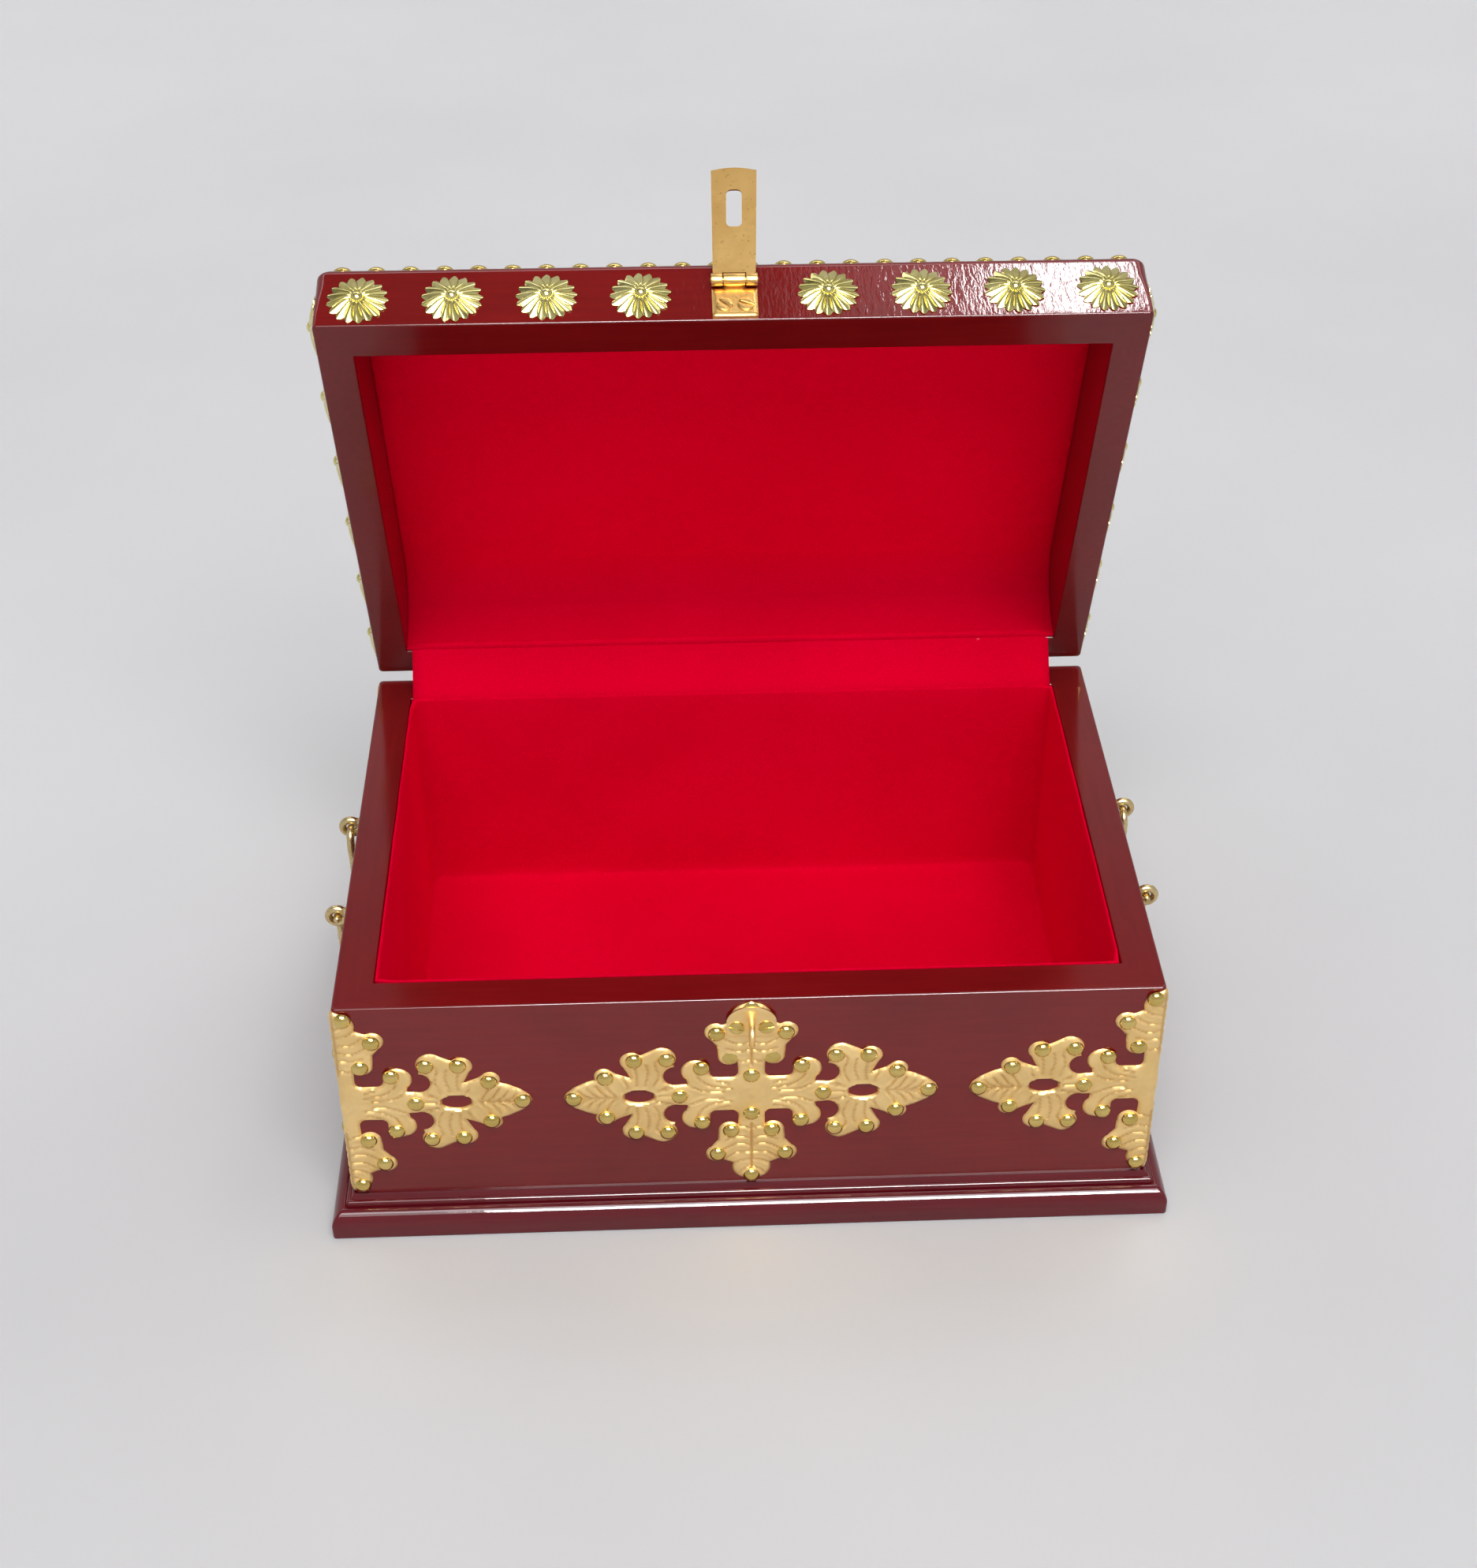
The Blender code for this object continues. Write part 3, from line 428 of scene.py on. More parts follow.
def smooth_path(points, per=6):
    """A Catmull-Rom curve through points of any size, end points kept."""
    pts = [np.array(p, float) for p in points]
    pts = [2 * pts[0] - pts[1], *pts, 2 * pts[-1] - pts[-2]]
    out = []
    for k in range(1, len(pts) - 2):
        a, b, c, d = pts[k - 1 : k + 3]
        for i in range(per):
            t = i / per
            square, cube = 2 * a - 5 * b + 4 * c - d, 3 * b - a - 3 * c + d
            out.append(0.5 * (2 * b + (c - a) * t + square * t**2 + cube * t**3))
    out.append(pts[-2])
    return out


# ---- sheet metal shapes


def resampled(loop, step):
    """The closed loop with points about one step apart, its corners kept."""
    out = []
    for p, q in zip(loop, loop[1:] + loop[:1]):
        p, q = np.array(p, float), np.array(q, float)
        count = max(1, round(np.linalg.norm(q - p) / step))
        out += [tuple(p + (q - p) * i / count) for i in range(count)]
    return out


def segments_of(loops):
    starts = np.array([p for loop in loops for p in loop])
    ends = np.array([p for loop in loops for p in loop[1:] + loop[:1]])
    return starts, ends


def distance_to(points, starts, ends):
    """How far each point is from the nearest of some straight segments."""
    run = ends - starts
    length = np.maximum((run**2).sum(1), 1e-12)
    best = np.full(len(points), 1e9)
    for s, r, l in zip(starts, run, length):
        t = np.clip(((points - s) @ r) / l, 0, 1)
        best = np.minimum(best, np.linalg.norm(points - s - t[:, None] * r, axis=1))
    return best


def inside(points, loops):
    """Which points are inside the outline and outside its holes."""
    odd = np.zeros(len(points), bool)
    for loop in loops:
        a = np.array(loop)
        b = np.roll(a, -1, axis=0)
        for (x0, y0), (x1, y1) in zip(a, b):
            if y0 == y1:
                continue
            crosses = (points[:, 1] >= min(y0, y1)) & (points[:, 1] < max(y0, y1))
            at = x0 + (points[:, 1] - y0) / (y1 - y0) * (x1 - x0)
            odd ^= crosses & (points[:, 0] < at)
    return odd


def filled(loops, step, columns=()):
    """(points, triangles, distance to the edge) of a flat shape, with even points inside it."""
    loops = [resampled(loop, step) for loop in loops]
    edge_points = np.array([p for loop in loops for p in loop])
    lo, hi = edge_points.min(0), edge_points.max(0)
    rows = np.arange(lo[1], hi[1], step * 0.87)
    grid = []
    for k, y in enumerate(rows):
        xs = np.arange(lo[0] + (k % 2) * step / 2, hi[0], step)
        if len(columns):
            band = max(abs(c) for c in columns) + step * 0.5
            xs = np.concatenate([xs[abs(xs) > band], columns])
        grid += [(x, y) for x in xs]
    grid = np.array(grid)
    starts, ends = segments_of(loops)
    keep = inside(grid, loops) & (distance_to(grid, starts, ends) > 0.55 * step)
    points = np.concatenate([edge_points, grid[keep]])
    edges, first = [], 0
    for loop in loops:
        n = len(loop)
        edges += [(first + i, first + (i + 1) % n) for i in range(n)]
        first += n
    out, _, tris, _, _, _ = geometry.delaunay_2d_cdt(
        [Vector(p) for p in points], edges, [], 0, 1e-5
    )
    out = np.array([tuple(p) for p in out])
    tris = np.array(tris)
    centres = out[tris].mean(1)
    tris = tris[inside(centres, loops)]
    a, b, c = out[tris[:, 0]], out[tris[:, 1]], out[tris[:, 2]]
    area = (b[:, 0] - a[:, 0]) * (c[:, 1] - a[:, 1]) - (b[:, 1] - a[:, 1]) * (c[:, 0] - a[:, 0])
    tris = np.where((area > 0)[:, None], tris, tris[:, ::-1])[abs(area) > 1e-7]
    return out, tris, distance_to(out, starts, ends), loops


def sheet_metal(outline, holes, thick, step, rounding, relief=None, columns=(), base=0.0):
    """A plate (across, up, out) with softened edges; relief adds height away from them."""
    flat, tris, edge, loops = filled([outline, *holes], step, columns)
    near = np.clip(1 - edge / rounding, 0, 1)
    height = base + thick - rounding * (1 - np.sqrt(1 - near**2))
    if relief:
        height = height + relief(flat, edge, loops)[0]
    n = len(flat)
    points = np.concatenate(
        [np.column_stack([flat, height]), np.column_stack([flat, np.full(n, base)])]
    )
    faces = [tuple(int(i) for i in t) for t in tris]
    faces += [tuple(int(i) + n for i in reversed(t)) for t in tris]
    sides = {}
    for a, b, c in tris.tolist():
        sides.update({(a, b): 1, (b, c): 1, (c, a): 1})
    faces += [(j, i, i + n, j + n) for i, j in sides if (j, i) not in sides]
    return points, faces


def standing(points, out=0.0):
    """Plate points (across, up, out) as points on the front face, outwards -Y."""
    p = np.array(points)
    return np.column_stack([p[:, 0], -p[:, 2] - out, p[:, 1]])


def dome_profile(radius, height):
    """Half the outline of a nail's head: a low rim and a full dome."""
    top = [(radius * math.cos(a), height * math.sin(a)) for a in np.linspace(0.12, 1.35, 7)]
    return [(0, 0), (radius * 0.98, 0), (radius, 0.125 * height)] + top + [(0, height)]


def screw_head(radius, angle, height=0.55, gap=0.38):
    """A slotted countersunk head: a low disc and two half discs either side of the slot."""
    shape = Shape()
    base = [(0, 0), (radius, 0), (radius, 0.12), (radius * 0.97, 0.16), (0, 0.16)]
    shape.take(*turned_profile(base, 28))
    reach = radius * 0.96
    first = math.degrees(math.asin(gap / reach))
    half = arc((0, 0), reach, first, 180 - first, 14)
    points, faces = sheet_metal(half, [], height, 0.45, 0.22, base=0.14)
    turn = Matrix.Rotation(angle, 4, "Z")
    shape.take(points, faces, turn)
    shape.take(points, faces, turn @ Matrix.Rotation(math.pi, 4, "Z"))
    return shape


UPRIGHT = Matrix.Rotation(math.radians(90), 4, "X")  # out of a plate (+Z) to out of a face (-Y)


# ---- wood


def along_y(centre):
    """Side walls have their grain along Y, and front and back along X."""
    return int(abs(centre.x) - HALF_X > abs(centre.y) - HALF_Y)


RIM_ROUND = 0.75
INNER_ROUND = 0.5


def case_shell():
    x, y, r = HALF_X, HALF_Y, 1.5
    rings = [centred_ring(x - 0.4, y - 0.4, r, 0), centred_ring(x, y, r, 0.4)]
    for step in range(5):
        a = math.radians(90 * step / 4)
        inset = RIM_ROUND * (1 - math.cos(a))
        rings.append(centred_ring(x - inset, y - inset, r, RIM - RIM_ROUND * (1 - math.sin(a))))
    inner_x, inner_y = x - WALL, y - WALL
    for step in range(4):
        a = math.radians(90 * step / 3)
        grow = INNER_ROUND * (1 - math.sin(a))
        up = RIM - INNER_ROUND * (1 - math.cos(a))
        rings.append(centred_ring(inner_x + grow, inner_y + grow, 0.6, up))
    rings.append(centred_ring(inner_x, inner_y, 0.6, FLOOR))
    walls = ["wall_" + side for side in SIDES]
    obj = add(
        "case_shell", *loft(rings), [wood_x, wood_y], "case", "lacquered_wood",
        sharp=40, replaces=[*walls, "bottom_board"], pick=along_y,
    )
    even_normals(obj)


def flattened(out, up, depth, rise, steps=12, fullness=1.8):
    """A quarter round that is a little flatter at its middle than an ellipse."""
    points = []
    for step in range(steps + 1):
        a = math.radians(4 + 82 * step / steps)
        across, above = math.cos(a) ** (2 / fullness), math.sin(a) ** (2 / fullness)
        points.append((out + depth * across, up + rise * above))
    return points


def plinth_moulding():
    """Cove, bead, groove, quarter round and fascia, mitred round the foot of the case."""
    foot, top = 0.15, PLINTH_TOP - 0.05
    back = 0.05
    fascia, nosing, nosing_rise = 5.4, 5.0, 6.1
    profile = [(back, foot), (PLINTH - 0.5, foot), (PLINTH - 0.12, 0.35), (PLINTH, 0.8)]
    profile += [(PLINTH, fascia - 0.4)]
    profile += flattened(PLINTH - nosing, fascia, nosing, nosing_rise)
    groove = [(3.8, 11.3), (3.4, 11.15)]
    bead = arc((2.2, 12.55), 1.2, -15, 110, 6)
    cove = [(1.75, 13.75), (1.55, 13.95)] + arc((2.6, 15.9), 1.9, 232, 185, 4)
    profile += groove + bead + cove + [(0.6, top), (back, top)]
    rings = [centred_ring(HALF_X + out, HALF_Y + out, 0.5 + 0.08 * out, z, 3) for out, z in profile]
    points, faces = loft([*rings, rings[0]], capped=False)
    last = len(rings) * len(rings[0])
    faces = [tuple(i % last for i in face) for face in faces]
    obj = add(
        "plinth_moulding", points[:last], faces, [plinth_x, plinth_y], "case", "lacquered_wood",
        sharp=38, replaces=["plinth_" + side for side in SIDES], pick=along_y,
    )
    even_normals(obj)


def lid_shell():
    """Upright sides, a slope all round and a flat top, hollowed from the rim."""
    x, y = HALF_X, HALF_Y
    z0 = LID_RIM
    rings = []

    def outer(inset, up, radius):
        rings.append(centred_ring(x - inset, y - inset, radius, z0 + up, 6))

    inner = (-x + SIDE_RAIL, x - SIDE_RAIL, -y + FRONT_RAIL, y - BACK_RAIL)
    ceiling = z0 + RECESS

    def hollow(grow, z):
        x0, x1, y0, y1 = inner
        rings.append(rect_ring(x0 - grow, x1 + grow, y0 - grow, y1 + grow, 0.7, z, 6))

    hollow(0, ceiling)
    for step in range(4):
        a = math.radians(90 * (1 - step / 3))
        hollow(0.6 * (1 - math.sin(a)), z0 + 0.6 * (1 - math.cos(a)))
    for step in range(5):
        a = math.radians(90 * step / 4)
        outer(0.65 * (1 - math.sin(a)), 0.65 * (1 - math.cos(a)), 1.6)
    for up in (6, 14, 20):
        outer(0, up, 1.6 + 2.2 * (up / 20) ** 2)
    bend = 4.0
    start = LID_EDGE - bend * math.tan((math.pi / 2 - LID_SLOPE) / 2)
    for step in range(8):
        a = (math.pi / 2 - LID_SLOPE) * step / 7
        outer(bend * (1 - math.cos(a)), start + bend * math.sin(a), 4.0)
    run = (LID_TOP - LID_EDGE) / math.tan(LID_SLOPE)
    crown = 3.0
    cut = crown * math.tan(LID_SLOPE / 2)
    for step in range(5):
        a = LID_SLOPE * (1 - step / 4)
        reach = run - cut * math.cos(LID_SLOPE)
        along = reach + crown * (math.sin(LID_SLOPE) - math.sin(a))
        outer(along, LID_TOP - crown * (1 - math.cos(a)), 4.0)
    points, faces = loft(rings)

    def pick(centre):
        if centre.y < -y + 0.2 and centre.z > z0 + 0.8:
            return 2
        return along_y(centre)

    nodes = ["lid_rail_" + side for side in SIDES]
    obj = add(
        "lid_shell", points, faces, [wood_x, wood_y, wood_lid], "lid", "lacquered_wood",
        matrix=OPEN, sharp=40, replaces=[*nodes, "lid_top_board"], pick=pick,
    )
    even_normals(obj)


# ---- velvet


def ripple(p, size, height, seed=0.0):
    """A slow, repeatable unevenness."""
    return height * noise.noise(Vector(p) / size + Vector((seed, seed, seed)))


def long_ring(x, y, radius, z, step=9.0):
    """A rounded rectangle with points along its sides too."""
    ring = []
    corners = ((x, y, 0), (-x, y, 90), (-x, -y, 180), (x, -y, 270))
    for k, (cx, cy, start) in enumerate(corners):
        sx, sy = math.copysign(1, cx), math.copysign(1, cy)
        centre = (cx - sx * radius, cy - sy * radius)
        ring += [(px, py, z) for px, py in arc(centre, radius, start, start + 90, 5)]
        nx, ny, following = corners[(k + 1) % 4]
        a = Vector((ring[-1][0], ring[-1][1], 0))
        tx = nx - math.copysign(radius, nx) if k in (0, 2) else nx
        ty = ny - math.copysign(radius, ny) if k in (1, 3) else ny
        b = Vector((tx, ty, 0))
        count = max(1, round((b - a).length / step))
        for i in range(1, count):
            p = a.lerp(b, i / count)
            ring.append((p.x, p.y, z))
    return ring


def inward(p, along_x):
    """The direction from a wall into the casket."""
    return Vector((-math.copysign(1, p.x), 0, 0)) if along_x else Vector((0, -math.copysign(1, p.y), 0))


def case_velvet():
    """The lining of walls and floor, soft in its folds and turned over at the rim."""
    wall_x, wall_y = HALF_X - WALL - 0.15, HALF_Y - WALL - 0.15
    floor_z = FLOOR + 0.3
    top = RIM + 0.25
    foot = floor_z + 1.1
    fold = 3.2
    # each ring's inset from the walls, height and corner radius
    turn_over = [
        (0.0, floor_z, 1.0), (0.0, RIM - 3.0, 1.0), (0.02, RIM - 0.6, 1.0), (0.12, top - 0.25, 1.0),
        (0.35, top, 1.1), (0.75, top - 0.05, 1.3), (1.05, top - 0.5, 1.5), (1.15, top - 1.4, 1.6),
    ]
    down_walls = [
        (1.15 + 1.3 * (RIM - z) / (RIM - foot), z, 2.2) for z in np.linspace(RIM - 6, foot + 6, 10)
    ]
    into_floor = []
    for step in range(1, 6):
        a = math.radians(90 * step / 5)
        out = fold * (1 - math.cos(a))
        into_floor.append((2.45 + out, foot + fold * (1 - math.sin(a)), 2.2 + out * 0.4))
    rings = [
        long_ring(wall_x - inset, wall_y - inset, radius, z)
        for inset, z, radius in turn_over + down_walls + into_floor
    ]
    floor_x, floor_y = wall_x - 2.45 - fold, wall_y - 2.45 - fold
    for share in (0.93, 0.8, 0.62, 0.42, 0.22):
        rings.append(long_ring(floor_x - floor_y * (1 - share), floor_y * share, 2.5, foot))
    soft = []
    for k, ring in enumerate(rings):
        moved = []
        for p in even_ring(ring, 120):
            v = Vector(p)
            if k >= len(turn_over):
                direction = inward(v, abs(v.x) / wall_x > abs(v.y) / wall_y)
                if v.z < foot + 1:
                    direction = Vector((0, 0, 1))
                v += direction * (0.35 + ripple(p, 38, 0.55))
            elif 3 <= k <= 6:
                v.z += ripple(p, 9, 0.18)
                v += inward(v, abs(v.y) < wall_y - 3) * ripple(p, 7, 0.16, 3)
            moved.append(v)
        soft.append(moved)
    return add(
        "case_velvet", *loft(soft), case_pile, "case", "red_velvet",
        sharp=180, replaces=["lining_walls", "lining_floor"],
    )


def even_ring(ring, count):
    """The same closed ring with its points evenly spaced from its own first corner."""
    pts = np.array(ring)
    closed = np.vstack([pts, pts[:1]])
    step = np.linalg.norm(np.diff(closed, axis=0), axis=1)
    at = np.concatenate([[0], np.cumsum(step)])
    want = np.linspace(0, at[-1], count, endpoint=False)
    return [tuple(np.interp(w, at, closed[:, i]) for i in range(3)) for w in want]


def strip(sections, thick, name, material, **keys):
    """A cloth strip from cross-sections, each a list of points; it gets a back and edges."""
    rows = [[Vector(p) for p in s] for s in sections]
    m, n = len(rows), len(rows[0])
    front, back = [], []
    for i in range(m):
        for j in range(n):
            du = rows[min(i + 1, m - 1)][j] - rows[max(i - 1, 0)][j]
            dv = rows[i][min(j + 1, n - 1)] - rows[i][max(j - 1, 0)]
            normal = du.cross(dv).normalized()
            half = thick / 2 if 0 < i < m - 1 and 0 < j < n - 1 else thick * 0.3
            front.append(rows[i][j] + normal * half)
            back.append(rows[i][j] - normal * half)
    points = front + back
    faces = []
    total = m * n
    for i in range(m - 1):
        for j in range(n - 1):
            a, b, c, d = i * n + j, (i + 1) * n + j, (i + 1) * n + j + 1, i * n + j + 1
            faces += [(a, b, c, d), (total + d, total + c, total + b, total + a)]
    rim = [i * n for i in range(m)] + [(m - 1) * n + j for j in range(1, n)]
    rim += [i * n + n - 1 for i in range(m - 2, -1, -1)] + list(range(n - 2, 0, -1))
    for a, b in zip(rim, rim[1:] + rim[:1]):
        faces.append((b, a, total + a, total + b))
    return add(name, points, faces, material, slot="red_velvet", sharp=180, **keys)


def lid_velvet():
    """The covered panel under the lid's top, turned down over the back rail's inner face.

    Its colour is painted darker where it turns over the rail: painted shade.
    """
    x = HALF_X - SIDE_RAIL + 0.1
    front = -HALF_Y + FRONT_RAIL - 0.1
    back = HALF_Y - BACK_RAIL - 0.75
    under = LID_RIM + RECESS - 0.8
    bend = 22.0
    line = [(front, under + 0.35), (front + 0.8, under)]
    line += [(y, under) for y in np.linspace(front + 8, back - bend - 3, 18)]
    line += [(y, z) for y, z in arc((back - bend, under - bend), bend, 90, 0, 12)]
    line += [(back, z) for z in np.linspace(under - bend - 3, LID_RIM + 0.7, 5)]
    length = sum(math.dist(a, b) for a, b in zip(line, line[1:]))
    sections = []
    across = np.concatenate([[-x, -x + 0.7], np.linspace(-x + 6, x - 6, 30), [x - 0.7, x]])
    for px in across:
        section = []
        edge = max(0.0, 1 - (x - abs(px)) / 1.2)
        for k, (y, z) in enumerate(line):
            (y0, z0), (y1, z1) = line[max(k - 1, 0)], line[min(k + 1, len(line) - 1)]
            out = Vector((z0 - z1, y1 - y0)).normalized()
            soft = (1 - edge) * (-0.3 + ripple((px, y, z), 42, 0.5, 5)) * min(1.0, (z - LID_RIM) / 6)
            section.append((px, y + soft * out[0], z + soft * out[1] + 0.2 * edge * out[1]))
        sections.append(section)
    # painted shade: none over the flat panel's 20 points, and then more with each point of the turn
    painted_shade = [min(1.0, max(0.0, (k - 20) / 8)) for k in range(len(line))] * (2 * len(sections))
    obj = strip(
        sections, 0.9, "lid_velvet", lid_pile_painted_lighter,
        shade=painted_shade, matrix=OPEN, body="lid", replaces=["lid_lining"],
    )


def flap_velvet():
    """The strip over the joint: it leaves the case's lining and runs into the lid's."""
    x = HALF_X - WALL - 1.2
    start = Vector((0, HALF_Y - WALL - 0.9, RIM - 1.2))
    crest = Vector((0, HALF_Y - WALL - 0.4, RIM + 0.55))
    end = OPEN @ Vector((0, HALF_Y - BACK_RAIL - 1.45, LID_RIM + 3.0))
    ahead = end - crest
    normal = Vector((0, -ahead.z, ahead.y)).normalized()
    if normal.y > 0:
        normal = -normal
    line = [start]
    for t in np.linspace(0, 1, 10):
        line.append(crest.lerp(end, t) - normal * 0.5 * math.sin(math.pi * t))
    line.append(OPEN @ Vector((0, HALF_Y - BACK_RAIL - 0.7, LID_RIM + 4.0)))
    sections = []
    for px in np.linspace(-x, x, 46):
        section = []
        for k, p in enumerate(line):
            t = k / (len(line) - 1)
            push = ripple((px, 0, 0), 30, 0.5, 9) * math.sin(math.pi * t)
            section.append(Vector((px, 0, 0)) + Vector((0, p.y, p.z)) + normal * push)
        sections.append(section)
    obj = strip(sections, 0.9, "joint_velvet", case_pile, body=None, replaces=["hinge_flap"])
    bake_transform(obj)


# ---- stamped brass crosses


def cross_quarter():
    """A quarter of the scrolled cross, from its top tip clockwise to its right tip, in mm."""
    outline = arc((1.2, 38.4), 6.2, 75, -20, 8)
    outline += arc((13.2, 31.0), 4.2, 125, -60, 10)
    outline += [(12.8, 24.0)]
    outline += arc((8.2, 18.9), 4.3, 5, -135, 8)
    outline += [(5.0, 12.0)]
    outline += arc((7.6, 11.0), 2.6, 190, 270, 4)
    outline += arc((13.1, 11.0), 2.5, 270, 350, 4)
    outline += arc((20.8, 11.8), 5.5, 160, -50, 12)
    outline += [(23.9, 5.4)]
    outline += arc((28.3, 9.6), 4.6, 250, 445, 10)
    outline += arc((33.4, 18.6), 5.4, 215, 55, 10)
    outline += arc((44.6, 17.6), 4.3, 140, -45, 10)
    outline += [(45.0, 9.2), (50.5, 11.6)]
    outline += arc((55.0, 10.6), 3.7, 120, -25, 7)
    outline += [(61.6, 7.8), (66.2, 5.3), (69.2, 2.5)]
    return outline


CROSS_TIP = 45.6
CROSS_REACH = 70.2


def cross_outline():
    quarter = cross_quarter()
    upper = quarter + [(CROSS_REACH, 0)]
    right = upper + [(u, -w) for u, w in reversed(quarter)]
    left = [(-u, -w) for u, w in quarter] + [(-CROSS_REACH, 0)] + [(-u, w) for u, w in reversed(quarter)]
    return [*right, (0, -CROSS_TIP), *left, (0, CROSS_TIP)]


def leaf_hole(side):
    upper = arc((42.0, -5.2), 8.4, 130, 50, 8)
    lower = arc((42.0, 5.2), 8.4, 310, 230, 8)
    return [(side * u, w) for u, w in upper + lower]


def curve(*points):
    return [tuple(p) for p in smooth_path(points, 4)]


def veins():
    """The pressed lines of the leaves, one quarter of the cross."""
    lines = [curve((50.5, 0), (60, 0), (67, 0)), curve((34.5, 0), (30, 0), (24, 0))]
    for k in range(5):
        u = 50.5 + 3.3 * k
        reach = 7.6 - 1.25 * k
        lines.append(curve((u, 0.4), (u + 2.6, 0.45 * reach), (u + 4.4, reach)))
    lines += [
        curve((36.5, 5.2), (34.5, 10.5), (35.8, 16.5), (33.0, 19.8)),
        curve((39.8, 5.8), (38.6, 11.5), (39.2, 16.5)),
        curve((43.0, 5.8), (42.8, 11.0), (43.8, 16.0)),
        curve((46.2, 4.8), (47.2, 8.0), (48.8, 10.4)),
        curve((33.0, 3.8), (29.5, 6.0), (27.8, 9.5)),
        curve((35.2, 2.6), (30.8, 3.6), (26.8, 5.6)),
        curve((7.5, 3.2), (14.5, 4.4), (19.2, 8.0), (20.6, 12.0)),
        curve((10.5, 1.6), (17.5, 2.2), (22.5, 4.4)),
        curve((8.5, 5.6), (13.5, 7.4), (16.6, 11.0)),
        curve((0, 15), (0, 30), (0, 43.5)),
        curve((0.5, 17.5), (4.2, 16.6), (7.6, 19.6)),
        curve((0.5, 22.5), (5.0, 21.8), (9.5, 23.4)),
        curve((0.5, 26.2), (5.6, 25.6), (11.6, 29.0)),
        curve((0.5, 30.0), (5.4, 30.0), (10.0, 33.4)),
        curve((0.5, 34.0), (4.4, 34.6), (7.4, 37.6)),
        curve((0.5, 38.0), (3.0, 39.0), (4.6, 41.6)),
    ]
    return lines


VEINS = veins()
VEIN_STARTS = np.array([p for line in VEINS for p in line[:-1]])
VEIN_ENDS = np.array([p for line in VEINS for p in line[1:]])


def leaf_relief(flat, edge, loops):
    """Swelling lobes, pressed veins, raised lips round the holes and a round middle."""
    folded = np.abs(flat)
    swell = 0.42 * np.clip(edge / 3.2, 0, 1) ** 0.8
    away = distance_to(folded, VEIN_STARTS, VEIN_ENDS)
    inland = np.clip((edge - 0.5) / 1.2, 0, 1)
    groove = np.exp(-((away / 0.36) ** 2)) * inland
    height = swell - 0.46 * groove + 0.24 * inland * np.exp(-(((away - 1.1) / 0.5) ** 2))
    for hole in loops[1:]:
        lip = distance_to(flat, *segments_of([hole]))
        height += 0.5 * np.exp(-(((lip - 0.9) / 0.6) ** 2))
    middle = np.linalg.norm(flat, axis=1)
    height += 0.34 * np.exp(-((middle / 1.7) ** 2)) + 0.22 * np.exp(-(((middle - 3.6) / 0.7) ** 2))
    return height, np.clip(0.8 * groove + 0.7 * np.exp(-((edge / 0.35) ** 2)), 0, 1)


def upright_cross(step):
    """The stamped cross on a flat face, in (across, up, out)."""
    outline, holes = cross_outline(), [leaf_hole(1), leaf_hole(-1)]
    columns = np.array([-2.1, -1.6, -1.2, -0.8, -0.4, 0, 0.4, 0.8, 1.2, 1.6, 2.1])
    points, faces = sheet_metal(outline, holes, 0.55, step, 0.5, leaf_relief, columns)
    loops = [resampled(loop, step) for loop in (outline, *holes)]
    flat = points[:, :2]
    patina = leaf_relief(flat, distance_to(flat, *segments_of(loops)), loops)[1]
    return points, faces, patina


NAILS = [(7.7, 18.6), (12.8, 30.7), (18.7, 13.8), (31.6, 18.5), (43.6, 18.2), (54.5, 9.9)]
NAIL_RADIUS = 3.3
NAIL_HEIGHT = 2.4
FLAT_NAIL_HEIGHT = 1.0


def nail_places(folded):
    """The nails of a cross; one folded round a corner has a pair at each end of its fold."""
    places = [(su * u, sw * w) for u, w in NAILS for su in (-1, 1) for sw in (-1, 1)]
    places += [(s * u, 0.0) for u in (26.9, 66.6) for s in (-1, 1)]
    if folded:
        return places + [(-3.4, sw * 41.8) for sw in (-1, 1)]
    return places + [(0.0, sw * w) for w in (9.6, 42.2) for sw in (-1, 1)]


def nail_shape(places, placing, flat=()):
    """Nail heads as one piece; placing gives each one's matrix. The flat ones lie under the strap."""
    nail = turned_profile(dome_profile(NAIL_RADIUS, NAIL_HEIGHT), 20)
    flat_nail = turned_profile(dome_profile(NAIL_RADIUS, FLAT_NAIL_HEIGHT), 20)
    shape = Shape()
    for u, w in places:
        shape.take(*(flat_nail if (u, w) in flat else nail), placing(u, w))
    return shape.data()


def front_cross(step):
    points, faces, patina = upright_cross(step)
    matrix = side_matrix("front", CROSS_Z)
    add(
        "cross_front_leaf", standing(points, 0.05), faces, stamped, "case", "stamped_brass",
        matrix, 50, ["cross_front"], shade=patina,
    )

    def placing(u, w):
        return matrix @ Matrix.Translation((u, -0.55, w)) @ UPRIGHT

    nails = nail_shape(nail_places(False), placing, flat=[(0.0, 42.2), (-7.7, 18.6), (7.7, 18.6)])
    add("cross_front_nails", *nails, nail_brass, "case", "polished_brass")


